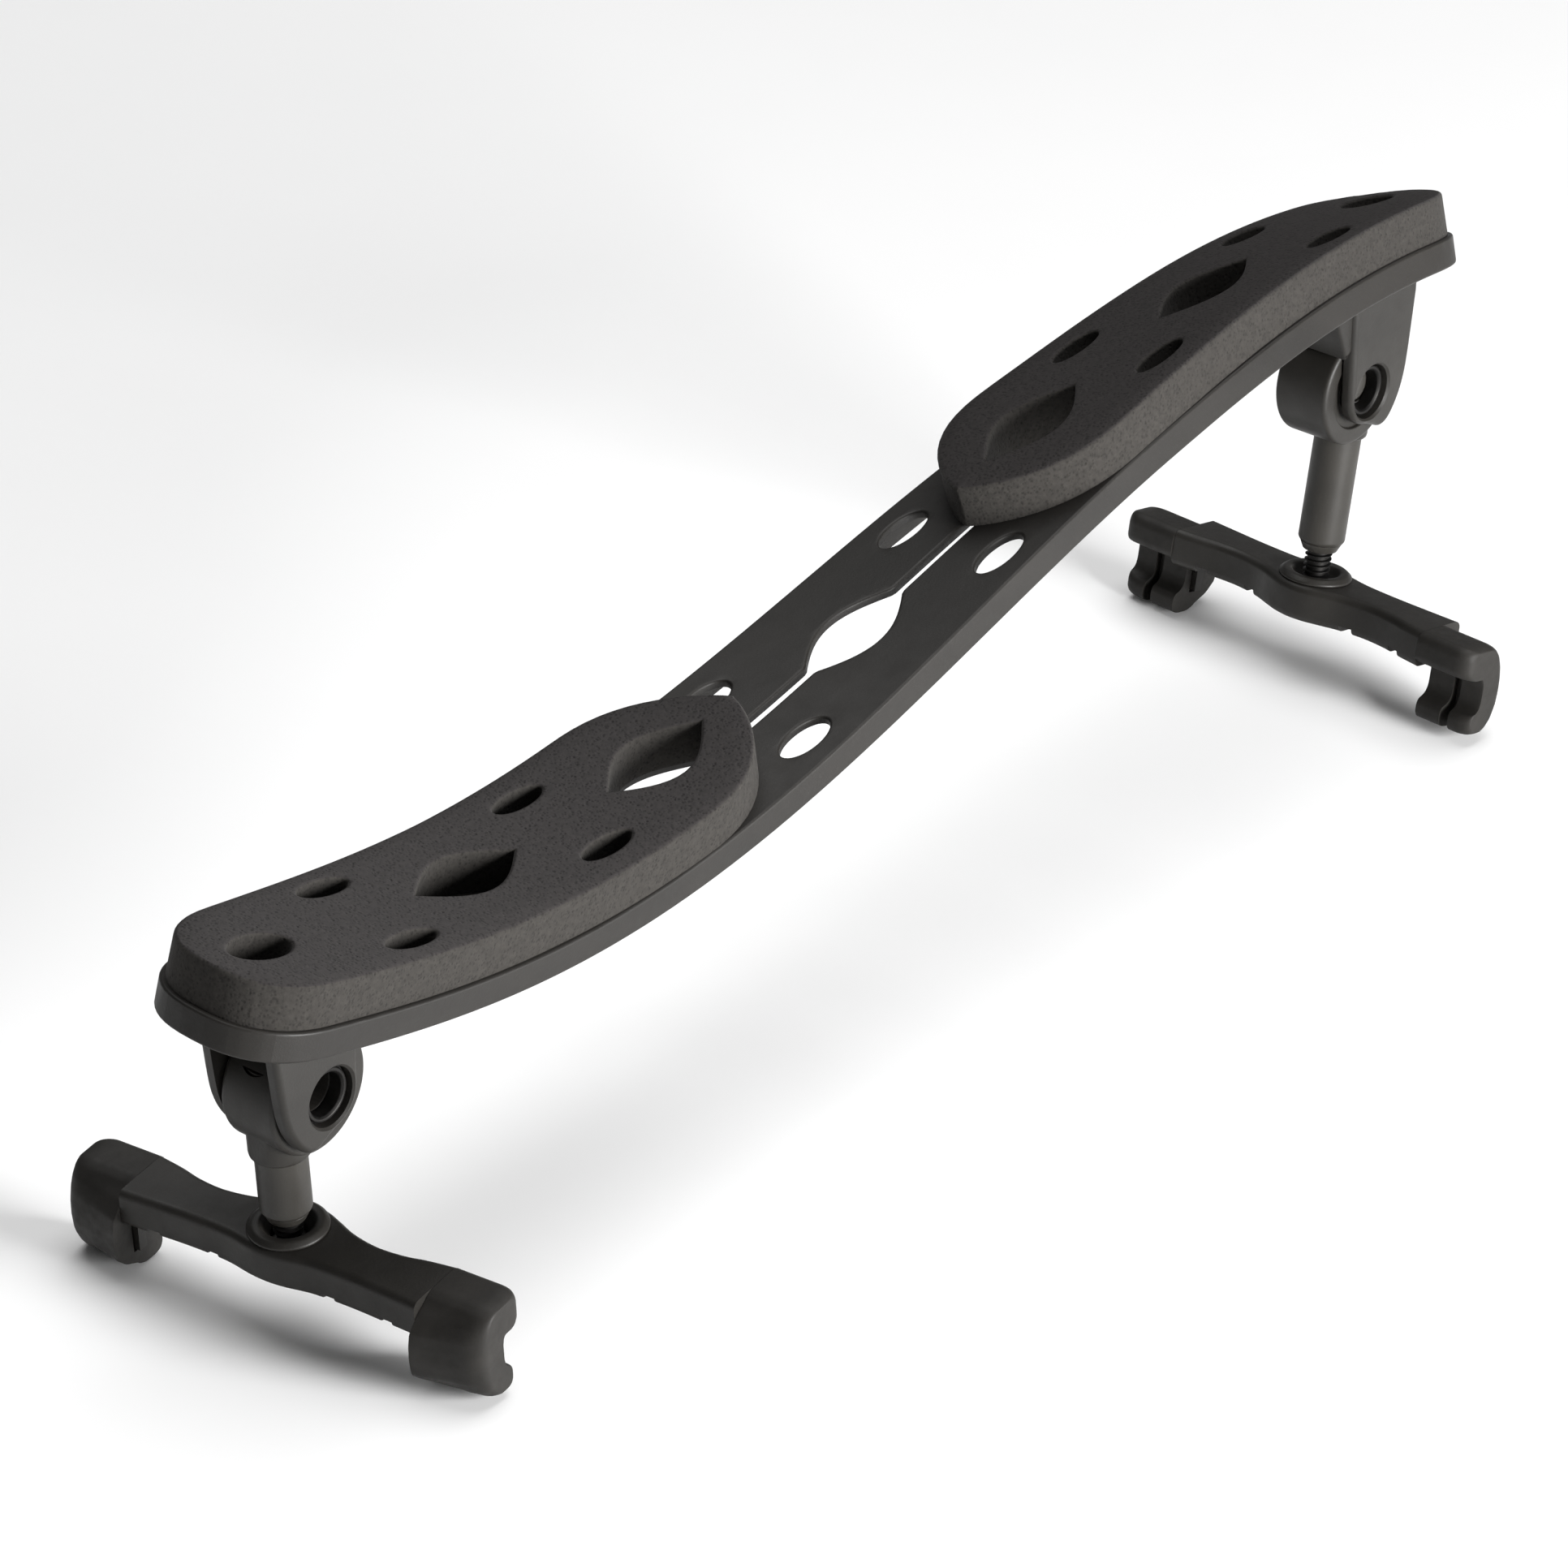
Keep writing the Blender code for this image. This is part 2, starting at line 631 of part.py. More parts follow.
def height_screw():
    """Screw with a captive disc at its lower end, in the socket of the fork."""
    disc = -SOCKET_DEPTH + GAP
    profile = [(SCREW_RADIUS - 0.3 * MM, SCREW_LENGTH - 1.5 * MM), (SCREW_RADIUS, SCREW_LENGTH - 2 * MM),
               (SCREW_RADIUS, disc + 1.0 * MM), (3.0 * MM, disc + 1.0 * MM), (3.0 * MM, disc),
               (0.3 * MM, disc), (0.3 * MM, SCREW_LENGTH - 1.5 * MM)]
    return turned(profile)


def swivel_ring():
    """Raised ring that keeps the screw's disc in the fork and lets the fork swivel."""
    disc_top = -SOCKET_DEPTH + GAP + 1.0 * MM
    profile = [(4.2 * MM, 0.9 * MM), (4.7 * MM, 0.5 * MM), (4.7 * MM, GAP), (3.1 * MM, GAP),
               (3.1 * MM, disc_top + GAP), (SCREW_RADIUS + GAP, disc_top + GAP),
               (SCREW_RADIUS + GAP, 0.0), (2.9 * MM, 0.9 * MM)]
    return turned(profile)


def fork_outline():
    """The bar from above: a round boss, a waist to each side and full width at the claws."""
    inner = [(-5.2, 0.0), (-4.9, 2.2), (-4.1, 4.4), (-3.1, 7.0), (-2.5, 10.5), (-2.7, 14.0),
             (-3.4, 17.2)]
    outer = [(4.5, 16.0), (4.1, 11.0), (4.2, 6.0), (4.8, 2.5), (5.0, 0.0)]
    shoulder = FORK_SHOULDER / MM
    half = [(u * MM, y * MM) for u, y in inner + [(-3.8, shoulder), (4.9, shoulder)] + outer]
    return half + [(u, -y) for u, y in reversed(half[1:-1])]


def claw_core(low, high, grow=0.0):
    """The bar's end inside a grip: a tongue with a turned-down leg, widened by grow on every side."""
    tongue = box((-2.8 * MM - grow, 2.3 * MM + grow), (low - grow, high + grow),
                 (-3.0 * MM - grow, -1.3 * MM + grow))
    leg_down = box((1.3 * MM - grow, 2.6 * MM + grow), (low - grow, high + grow),
                   (-9.2 * MM - grow, -2.6 * MM))
    return union(tongue, leg_down)


def fork_foot():
    mesh = prism(fork_outline(), -FORK_THICKNESS, 0)
    mesh = bevelled(mesh, 0.7 * MM, 2, 50)
    for low, high in ((FORK_SHOULDER - 0.6 * MM, FORK_TIP), (-FORK_TIP, -FORK_SHOULDER + 0.6 * MM)):
        mesh = union(mesh, claw_core(low, high))
    socket = rod(SOCKET_RADIUS, -SOCKET_DEPTH, 5 * MM)
    notches = []
    for place in (-16 * MM, -8 * MM, 8 * MM, 16 * MM):
        notches.append(box((-9 * MM, 9 * MM), (place - 0.9 * MM, place + 0.9 * MM),
                           (-9 * MM, -FORK_THICKNESS + 0.9 * MM)))
    return cut(mesh, socket, *notches)


def grip_profile():
    """The claw grip in u and z: a bar sleeve above, a mouth open inwards and a short lip below."""
    points = [(-3.1, 0.0), (-3.8, -0.4), (-4.1, -1.1), (-4.1, -3.2), (-3.7, -3.9), (-3.0, -4.1),
              (-1.0, -4.1), (-0.5, -4.5), (-0.2, -5.3), (-0.2, -7.6), (-0.5, -8.5), (-1.1, -9.0),
              (-1.8, -9.3), (-2.1, -9.9), (-2.1, -11.1), (-1.6, -11.8), (-0.7, -12.0), (1.0, -12.0),
              (2.2, -11.5), (3.4, -10.3), (4.2, -8.4), (4.4, -6.5), (4.35, -4.5), (3.9, -2.4),
              (3.0, -0.8), (1.7, 0.0)]
    return [(u * MM, z * MM) for u, z in points]


def grip_plan():
    """The claw grip from above, with its free corners rounded."""
    low, wide = FORK_SHOULDER - MM, 9 * MM
    inner_round, outer_round = 2.6 * MM, 1.6 * MM
    inner_u, outer_u = -4.3 * MM, 4.95 * MM
    points = [(wide, low), (wide, GRIP_TIP - outer_round)]
    points += arc((outer_u - outer_round, GRIP_TIP - outer_round), outer_round, 0, 90, 6)
    points += arc((inner_u + inner_round, GRIP_TIP - inner_round), inner_round, 90, 180, 8)
    points.append((inner_u, low))
    return points


def claw_grip(front):
    """Rubber grip over one end of the fork; its outer wall is thicker towards the bar."""
    low = FORK_SHOULDER + GAP
    mesh = prism(grip_profile(), low, GRIP_TIP + MM, "Y")
    bulge_start = 2.7 * MM
    for vertex in mesh.vertices:
        if vertex.co.x > bulge_start and vertex.co.y < low + MM:
            vertex.co.x += GRIP_TAPER * min(1, (vertex.co.x - bulge_start) / (1.3 * MM))
    mesh = boolean(mesh, prism(grip_plan(), -20 * MM, 5 * MM), "INTERSECT")
    mesh = cut(mesh, claw_core(low - 3 * MM, FORK_TIP, GAP))
    if front:
        mesh.transform(Matrix.Scale(-1, 4, (0, 1, 0)))
        mesh.flip_normals()
    return mesh


def foot(side, fold, collection):
    """Fork, ring, grips and height screw, on an empty that stands on the leg's own axis."""
    sign = SIDES[side]
    axis = bpy.data.objects.new("foot_axis_" + side, None)
    axis.location = (sign * LEG_OFFSET, 0, -FORK_TOP[side])
    axis.rotation_euler = (0, 0, -sign * TOE_IN)
    axis.parent = fold
    collection.objects.link(axis)
    pieces = (("fork_foot_", fork_foot(), plastic()), ("swivel_ring_", swivel_ring(), plastic()),
              ("height_screw_", height_screw(), black_steel()))
    for prefix, mesh, mat in pieces:
        finish(prefix + side, mesh, mat, collection, mirrored=sign < 0, parent=axis)
    for place in ("front", "rear"):
        finish("claw_grip_" + side + "_" + place, claw_grip(place == "front"), rubber(), collection,
               mirrored=sign < 0, parent=axis)


def main():
    clear_scene()
    collection = bpy.data.collections.new("violin_shoulder_rest")
    bpy.context.scene.collection.children.link(collection)
    base_plate(collection)
    for side in SIDES:
        foam_pad(side, collection)
        hinge_bracket(side, collection)
        bracket_screw(side, collection)
        fold = fold_axis(side, collection)
        leg(side, fold, collection)
        foot(side, fold, collection)


main()
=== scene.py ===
import math

import bmesh
import bpy
from mathutils import Matrix, Vector
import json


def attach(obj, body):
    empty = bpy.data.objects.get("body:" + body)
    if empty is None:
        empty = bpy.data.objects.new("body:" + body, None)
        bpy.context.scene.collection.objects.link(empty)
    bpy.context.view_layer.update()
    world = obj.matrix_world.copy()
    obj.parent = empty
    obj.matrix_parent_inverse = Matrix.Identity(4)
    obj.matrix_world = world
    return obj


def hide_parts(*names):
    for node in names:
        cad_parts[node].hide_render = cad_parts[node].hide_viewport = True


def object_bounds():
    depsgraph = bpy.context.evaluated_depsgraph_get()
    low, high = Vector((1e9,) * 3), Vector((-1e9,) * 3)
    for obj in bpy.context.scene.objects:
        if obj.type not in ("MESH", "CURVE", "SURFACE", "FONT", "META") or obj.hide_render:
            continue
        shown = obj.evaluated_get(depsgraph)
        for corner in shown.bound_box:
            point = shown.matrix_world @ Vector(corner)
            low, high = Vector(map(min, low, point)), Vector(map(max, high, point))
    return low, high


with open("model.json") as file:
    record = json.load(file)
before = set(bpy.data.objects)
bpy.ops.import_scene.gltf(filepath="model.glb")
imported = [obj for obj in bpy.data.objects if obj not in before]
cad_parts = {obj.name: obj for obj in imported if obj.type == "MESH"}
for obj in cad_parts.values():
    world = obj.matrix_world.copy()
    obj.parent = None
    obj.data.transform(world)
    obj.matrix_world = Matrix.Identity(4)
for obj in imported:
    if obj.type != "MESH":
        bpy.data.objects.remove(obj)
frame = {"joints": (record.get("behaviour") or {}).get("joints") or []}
CAD_LOW, CAD_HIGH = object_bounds()
JOINTS = {joint["name"]: joint for joint in frame["joints"]}
MM = 0.001
SIDES = {"left": -1, "right": 1}
PIN = {side: Vector(JOINTS[side + "_leg_fold"]["pos_m"]) for side in SIDES}
FOOT = {side: Vector(JOINTS[side + "_foot_swivel"]["pos_m"]) for side in SIDES}
PIN_X = {side: abs(PIN[side].x) for side in SIDES}

# Driving dimensions, the same as in the CAD unless they only soften a shape
GAP = 0.3 * MM
OVERSHOOT = 3 * MM  # how far a cutting shape reaches past what it cuts

# Legs and their lean
LEG_OFFSET = 3.0 * MM
TUBE_LENGTH = {"left": 15.6 * MM, "right": 22.3 * MM}
LEAN = {"left": math.radians(5), "right": math.radians(11)}
TOE_IN = math.radians(5)

# Plate: x along it, v across it, h up from its top face
PLATE_HALF_LENGTH = 113.7 * MM
PLATE_HALF_WIDTH = 12.2 * MM
PLATE_END_NARROWING = 1.5 * MM
PLATE_END_ROUND = 11 * MM
END_BLUNTNESS = 2.5
RIM_HEIGHT = 3.7 * MM
WEB_THICKNESS = 2.2 * MM
RIM_WIDTH = 1.5 * MM
RIM_SOFTNESS = 0.35 * MM
POCKET_START = 50 * MM
POCKET_ROUND = 7 * MM
POCKET_EDGE = 0.6 * MM
MIDDLE_POCKET = 46.5 * MM
MIDDLE_WEB = 1.0 * MM
MIDDLE_EDGE = 0.3 * MM
GRID = {"plate": (2.4 * MM, 3.0 * MM), "pad": (2.2 * MM, 2.2 * MM)}
MIDDLE_TWIST = math.radians(-4.8)
END_START = 0.45
PLATE_WAVE = (9.9, 18.2, 5.2, -24.0, -0.6, 7.0)
EYE_HALF_LENGTH = 9.2 * MM
EYE_HALF_WIDTH = 4.0 * MM
SLIT_WIDTH = 1.4 * MM
SLIT_END = 30 * MM
OVAL_X = 18.4 * MM
OVAL_V = 7.4 * MM
OVAL_HALF_LENGTH = 4.0 * MM
OVAL_HALF_WIDTH = 2.0 * MM
DROP_START = 26.6 * MM
DROP_END = 45.6 * MM
DROP_HALF_WIDTH = 4.7 * MM

# Foam pads
PAD_THICKNESS = 5.5 * MM
PAD_INNER = 21.4 * MM
PAD_OUTER = 113.1 * MM
PAD_NOSE = 20 * MM
PAD_INSET = 0.6 * MM
PAD_LOW = 0.03 * MM
PAD_EDGE = 0.4 * MM
PAD_DOME = 0.22 * MM
PAD_DOME_WIDTH = 3.0 * MM
PAD_LEAN = 0.12 * MM
PAD_EYES = ((27.4 * MM, 44.8 * MM, 4.3 * MM), (62.0 * MM, 79.4 * MM, 3.9 * MM))
PAD_END_HOLE = (104.9 * MM, 4.3 * MM, 2.7 * MM)
PAD_OVALS = ((53.4 * MM, 4.2 * MM), (87.6 * MM, 4.0 * MM))
PAD_OVAL_V = 6.6 * MM
PAD_OVAL_HALF_WIDTH = 1.5 * MM

# Hinge and leg, measured from the fold axis
HUB_RADIUS = 7.6 * MM
HUB_HALF_WIDTH = 3.9 * MM
HUB_TOP_FLAT = 6.6 * MM
EAR_INNER = 4.2 * MM
EAR_OUTER = 5.8 * MM
EAR_HOLE = 3.6 * MM
EAR_TOP = 22 * MM
EAR_EDGE = 0.8 * MM
LUG_HALF_WIDTH = 5.2 * MM
LUG_DEPTH = 3.2 * MM
LUG_EDGE = 0.5 * MM
BUSH_RADIUS = 3.3 * MM
BUSH_OUTER = 5.0 * MM
BORE_RADIUS = 2.6 * MM
RECESS_RADIUS = 5.4 * MM
STUD_TOP = 9.2 * MM
STUD_RADIUS = 3.6 * MM
STUD_WAIST = 3.15 * MM
STEM_RADIUS = 1.8 * MM
STEM_LOW = 5.6 * MM
COLLAR_RADIUS = 3.6 * MM
COLLAR_TOP = -2.0 * MM
COLLAR_LOW = -7.8 * MM
TUBE_RADIUS = 3.0 * MM
TUBE_TOP = 4.5 * MM
SCREW_RADIUS = 1.75 * MM
SCREW_LENGTH = 15.5 * MM
THREAD_PITCH = 0.7 * MM

# Foot, measured from the middle of the bar's top
FORK_THICKNESS = 4.8 * MM
FORK_SHOULDER = 20.3 * MM
FORK_TIP = 27.1 * MM
GRIP_TIP = 28.7 * MM
GRIP_TAPER = 1.8 * MM
SOCKET_RADIUS = 3.4 * MM
SOCKET_DEPTH = 2.8 * MM

# Screw that holds bracket to plate
FASTENER_INSIDE_PIN = 9.2 * MM
FASTENER_HEAD_RADIUS = 1.9 * MM
FASTENER_HEAD_HEIGHT = 0.9 * MM
FASTENER_SHANK_RADIUS = 1.0 * MM
FASTENER_LENGTH = 4.6 * MM
SCREW_PLACE = {side: SIDES[side] * (PIN_X[side] - FASTENER_INSIDE_PIN) for side in SIDES}


# ---------------------------------------------------------------- materials

class Nodes:
    """Short way to build a node material: every call adds one node and links its inputs."""

    def __init__(self, name):
        self.mat = bpy.data.materials.new(name)
        self.mat.use_nodes = True
        self.tree = self.mat.node_tree
        self.shader = self.tree.nodes["Principled BSDF"]
        self.where = self.tree.nodes.new("ShaderNodeTexCoord").outputs["Object"]

    def add(self, kind, **inputs):
        node = self.tree.nodes.new(kind)
        for name, value in inputs.items():
            self.put(node, name.replace("_", " "), value)
        return node

    def put(self, node, name, value):
        socket = node.inputs[name]
        if isinstance(value, bpy.types.NodeSocket):
            self.tree.links.new(value, socket)
        else:
            socket.default_value = value

    def noise(self, scale, detail=3.0, roughness=0.55, stretch=None):
        where = self.where
        if stretch:
            where = self.add("ShaderNodeMapping", Vector=where, Scale=stretch).outputs["Vector"]
        node = self.add("ShaderNodeTexNoise", Vector=where, Scale=scale, Detail=detail,
                        Roughness=roughness)
        return node.outputs["Fac"]

    def cells(self, scale):
        node = self.add("ShaderNodeTexVoronoi", Vector=self.where, Scale=scale)
        return node.outputs["Distance"]

    def ramp(self, value, *stops):
        node = self.add("ShaderNodeValToRGB", Fac=value)
        points = node.color_ramp.elements
        points[0].position, points[1].position = stops[0][0], stops[-1][0]
        while len(points) < len(stops):
            points.new(0.5)
        for point, (place, colour) in zip(points, stops):
            point.position = place
            point.color = (*colour, 1) if isinstance(colour, tuple) else (colour,) * 3 + (1,)
        return node.outputs["Color"]

    def mix(self, share, a, b, mode="MIX"):
        node = self.tree.nodes.new("ShaderNodeMix")
        node.data_type = "RGBA"
        node.blend_type = mode
        self.put(node, 0, share)
        self.put(node, 6, a)
        self.put(node, 7, b)
        return node.outputs[2]

    def sum(self, a, b, kind="ADD"):
        node = self.tree.nodes.new("ShaderNodeMath")
        node.operation = kind
        self.put(node, 0, a)
        self.put(node, 1, b)
        return node.outputs[0]

    def bump(self, height, strength, distance, normal=None):
        node = self.add("ShaderNodeBump", Height=height, Strength=strength, Distance=distance)
        if normal is not None:
            self.put(node, "Normal", normal)
        return node.outputs["Normal"]

    def set(self, name, value):
        self.put(self.shader, name, value)


def rgb(*values):
    return (*values, 1.0)


def plastic_material(name, colour, grain=1.0, rough=0.46):
    """Glass-filled moulded plastic: satin, with a fine spark-eroded grain and cloudy flow marks."""
    n = Nodes(name)
    dark = tuple(c * 0.80 for c in colour)
    light = tuple(c * 1.22 for c in colour)
    cloud = n.noise(90, 3, stretch=(0.4, 1.0, 1.0))
    fleck = n.noise(2600, 2, 0.7)
    base = n.ramp(cloud, (0.32, dark), (0.68, light))
    flecks = n.ramp(fleck, (0.60, 0.0), (0.74, 1.0))
    base = n.mix(n.sum(flecks, 0.35, "MULTIPLY"), base, rgb(*[c * 1.8 for c in colour]))
    n.set("Base Color", base)
    wear = n.noise(260, 4)
    n.set("Roughness", n.ramp(wear, (0.3, rough - 0.07), (0.7, rough + 0.09)))
    coarse = n.bump(n.noise(420, 2), 0.12 * grain, 0.15 * MM)
    n.set("Normal", n.bump(n.noise(3400, 2, 0.6), 0.30 * grain, 0.05 * MM, coarse))
    n.set("Specular IOR Level", 0.3)
    return n.mat


def foam_material(name, colour, pore_shade=0.5):
    """Fine closed-cell foam: pores of several sizes with painted shade inside them, and a matt soft
    surface.
    """
    n = Nodes(name)
    small = n.cells(2000)
    large = n.cells(1300)
    mottle = n.noise(1500, 3, 0.7)
    pores = n.ramp(small, (0.10, 0.0), (0.42, 1.0))
    pits = n.ramp(large, (0.06, 0.0), (0.34, 1.0))
    dark = tuple(c * 0.45 for c in colour)
    light = tuple(c * 1.28 for c in colour)
    base = n.ramp(mottle, (0.30, tuple(c * 0.78 for c in colour)), (0.70, light))
    # Painted shade: the colour is pulled towards the dark tone inside the small and large pores.
    base = n.mix(n.sum(n.sum(1.0, pores, "SUBTRACT"), pore_shade, "MULTIPLY"), base, rgb(*dark))
    base = n.mix(n.sum(n.sum(1.0, pits, "SUBTRACT"), pore_shade, "MULTIPLY"), base, rgb(*dark))
    n.set("Base Color", base)
    n.set("Roughness", n.ramp(mottle, (0.3, 0.86), (0.7, 0.98)))
    soft = n.bump(n.noise(150, 2), 0.12, 0.3 * MM)
    deep = n.bump(pits, 0.45, 0.10 * MM, soft)
    n.set("Normal", n.bump(pores, 0.45, 0.06 * MM, deep))
    n.set("Specular IOR Level", 0.1)
    n.set("Sheen Weight", 0.04)
    n.set("Sheen Roughness", 0.6)
    return n.mat


def rubber_material(name, colour):
    """Soft moulded rubber: dark and matt, with dust in faint clouds and a fine bloom."""
    n = Nodes(name)
    cloud = n.noise(240, 5, 0.6)
    n.set("Base Color", n.ramp(cloud, (0.3, tuple(c * 0.78 for c in colour)),
                               (0.72, tuple(c * 1.25 for c in colour))))
    n.set("Roughness", n.ramp(n.noise(700, 3), (0.3, 0.50), (0.7, 0.66)))
    n.set("Normal", n.bump(n.noise(2800, 2), 0.22, 0.05 * MM,
                           n.bump(n.noise(300, 2), 0.15, 0.2 * MM)))
    n.set("Specular IOR Level", 0.25)
    return n.mat


def metal_material(name, colour, rough):
    """Machined metal with fine turning marks and a slightly uneven finish."""
    n = Nodes(name)
    marks = n.noise(900, 4, 0.6, stretch=(1.0, 1.0, 12.0))
    n.set("Base Color", n.ramp(n.noise(320, 4), (0.3, tuple(c * 0.75 for c in colour)),
                               (0.7, tuple(c * 1.2 for c in colour))))
    n.set("Roughness", n.ramp(marks, (0.3, rough - 0.08), (0.7, rough + 0.12)))
    n.set("Normal", n.bump(marks, 0.15, 0.04 * MM))
    n.shader.inputs["Metallic"].default_value = 1.0
    return n.mat


PLASTIC = plastic_material("satin_plastic", (0.016, 0.0147, 0.0128))
PLATE_PLASTIC = plastic_material("plate_plastic", (0.014, 0.0126, 0.0110), 1.2, 0.5)
TUBE_PLASTIC = plastic_material("tube_plastic", (0.024, 0.0222, 0.0192), 0.8, 0.42)
RUBBER = rubber_material("claw_rubber", (0.016, 0.0147, 0.0130))
# Painted light: the foam's side walls get a lighter copy of the top's colour, with weaker pore shade,
# standing in for the light they catch.
FOAM_TOP = foam_material("foam_face", (0.027, 0.0243, 0.0238), 0.75)
FOAM_SIDE_PAINTED_LIGHT = foam_material("foam_side_painted_light", (0.031, 0.0286, 0.0260), 0.6)
BLACK_STEEL = metal_material("blackened_steel", (0.030, 0.029, 0.028), 0.52)


# ---------------------------------------------------------------- mesh helpers

def scratch(data):
    item = bpy.data.objects.new("scratch", data)
    bpy.context.scene.collection.objects.link(item)
    return item


def evaluated(item, weld=0.004 * MM):
    """The item's shape as one welded mesh in world space; the item is removed."""
    bpy.context.view_layer.update()
    graph = bpy.context.evaluated_depsgraph_get()
    mesh = bpy.data.meshes.new_from_object(item.evaluated_get(graph))
    mesh.transform(item.matrix_world)
    bpy.data.objects.remove(item)
    work = bmesh.new()
    work.from_mesh(mesh)
    bmesh.ops.remove_doubles(work, verts=work.verts, dist=weld)
    bmesh.ops.dissolve_degenerate(work, edges=work.edges, dist=0.001 * MM)
    bmesh.ops.recalc_face_normals(work, faces=work.faces)
    work.to_mesh(mesh)
    work.free()
    return mesh


def boolean(mesh, other, operation):
    target, tool = scratch(mesh), scratch(other)
    step = target.modifiers.new(operation, "BOOLEAN")
    step.operation = operation
    step.object = tool
    result = evaluated(target)
    bpy.data.objects.remove(tool)
    return result


def cut(mesh, *tools):
    for tool in tools:
        mesh = boolean(mesh, tool, "DIFFERENCE")
    return mesh


def union(mesh, *others):
    for other in others:
        mesh = boolean(mesh, other, "UNION")
    return mesh


def rounded_prism(outlines, low, high, r=0.0, axis="Z", steps=2):
    """Closed outlines (holes inside the first) extruded between two levels with rounded rims."""
    curve = bpy.data.curves.new("outline", "CURVE")
    curve.dimensions = "2D"
    curve.fill_mode = "BOTH"
    curve.extrude = (high - low) / 2 - r
    curve.bevel_depth = r
    curve.bevel_resolution = steps
    curve.offset = -r
    for outline in outlines:
        spline = curve.splines.new("POLY")
        spline.points.add(len(outline) - 1)
        for point, (a, b) in zip(spline.points, outline):
            point.co = (a, b, 0, 1)
        spline.use_cyclic_u = True
    item = scratch(curve)
    middle = (high + low) / 2
    if axis == "Y":
        item.rotation_euler = (math.pi / 2, 0, 0)
        item.location = (0, middle, 0)
    else:
        item.location = (0, 0, middle)
    return evaluated(item)


def box(x, y, z):
    work = bmesh.new()
    bmesh.ops.create_cube(work, size=1)
    bmesh.ops.scale(work, vec=[high - low for low, high in (x, y, z)], verts=work.verts)
    middle = [(high + low) / 2 for low, high in (x, y, z)]
    bmesh.ops.translate(work, vec=middle, verts=work.verts)
    mesh = bpy.data.meshes.new("box")
    work.to_mesh(mesh)
    work.free()
    return mesh


def rod(radius, low, high, axis="Z", at=(0, 0), sides=64):
    work = bmesh.new()
    bmesh.ops.create_cone(work, cap_ends=True, segments=sides, radius1=radius, radius2=radius,
                          depth=high - low)
    bmesh.ops.translate(work, vec=(0, 0, (high + low) / 2), verts=work.verts)
    if axis == "Y":
        bmesh.ops.rotate(work, matrix=Matrix.Rotation(-math.pi / 2, 3, "X"), verts=work.verts)
        bmesh.ops.translate(work, vec=(at[0], 0, at[1]), verts=work.verts)
    else:
        bmesh.ops.translate(work, vec=(at[0], at[1], 0), verts=work.verts)
    mesh = bpy.data.meshes.new("rod")
    work.to_mesh(mesh)
    work.free()
    return mesh


def rounded_profile(profile, r, steps=3):
    """The closed profile with each corner replaced by a small arc."""
    result = []
    count = len(profile)
    for index in range(count):
        before, here, after = (Vector(profile[(index + k) % count]) for k in (-1, 0, 1))
        to_before, to_after = before - here, after - here
        reach = min(r, 0.45 * to_before.length, 0.45 * to_after.length)
        a = here + to_before.normalized() * reach
        b = here + to_after.normalized() * reach
        for step in range(steps + 1):
            t = step / steps
            result.append(tuple(a * (1 - t) ** 2 + here * 2 * t * (1 - t) + b * t * t))
    return result


def turned(profile, sides=72, r=0.15 * MM):
    """A turned piece around Z from a closed profile of (radius, height), with rounded corners."""
    work = bmesh.new()
    rings = []
    for radius, height in rounded_profile(profile, r):
        ring = []
        for step in range(sides):
            angle = 2 * math.pi * step / sides
            ring.append(work.verts.new((radius * math.cos(angle), radius * math.sin(angle), height)))
        rings.append(ring)
    for index, ring in enumerate(rings):
        following = rings[(index + 1) % len(rings)]
        for step in range(sides):
            after = (step + 1) % sides
            work.faces.new((ring[step], ring[after], following[after], following[step]))
    bmesh.ops.recalc_face_normals(work, faces=work.faces)
    mesh = bpy.data.meshes.new("turned")
    work.to_mesh(mesh)
    work.free()
    return mesh


def arc(centre, radius, start, end, count):
    angles = [math.radians(start + (end - start) * i / (count - 1)) for i in range(count)]
    return [(centre[0] + radius * math.cos(a), centre[1] + radius * math.sin(a)) for a in angles]


def smooth_outline(points, steps=4, closed=True):
    """Catmull-Rom curve through the points."""
    count = len(points)
    result = []
    last = count if closed else count - 1
    for index in range(last):
        p = [Vector(points[(index + k) % count if closed else max(0, min(count - 1, index + k))])
             for k in (-1, 0, 1, 2)]
        for step in range(steps):
            t = step / steps
            q = (p[1] * 2 + (p[2] - p[0]) * t + (p[0] * 2 - p[1] * 5 + p[2] * 4 - p[3]) * t * t
                 + (p[1] * 3 - p[0] - p[2] * 3 + p[3]) * t ** 3) * 0.5
            result.append(tuple(q))
    if not closed:
        result.append(tuple(points[-1]))
    return result


def sliced(mesh, x_step, y_step):
    """The mesh cut along a square grid, so that it can be bent."""
    work = bmesh.new()
    work.from_mesh(mesh)
    for axis, step in ((0, x_step), (1, y_step)):
        if not step:
            continue
        low = min(v.co[axis] for v in work.verts)
        high = max(v.co[axis] for v in work.verts)
        count = int((high - low) / step)
        for index in range(1, count + 1):
            place = low + (high - low) * (index - 0.5) / count
            normal = Vector((axis == 0, axis == 1, 0))
            everything = work.verts[:] + work.edges[:] + work.faces[:]
            bmesh.ops.bisect_plane(work, geom=everything, dist=0.0005 * MM,
                                   plane_co=normal * place, plane_no=normal)
    work.to_mesh(mesh)
    work.free()
    return mesh


def mirrored(mesh, side):
    if SIDES[side] < 0:
        mesh.transform(Matrix.Scale(-1, 4, (1, 0, 0)))
        mesh.flip_normals()
    return mesh


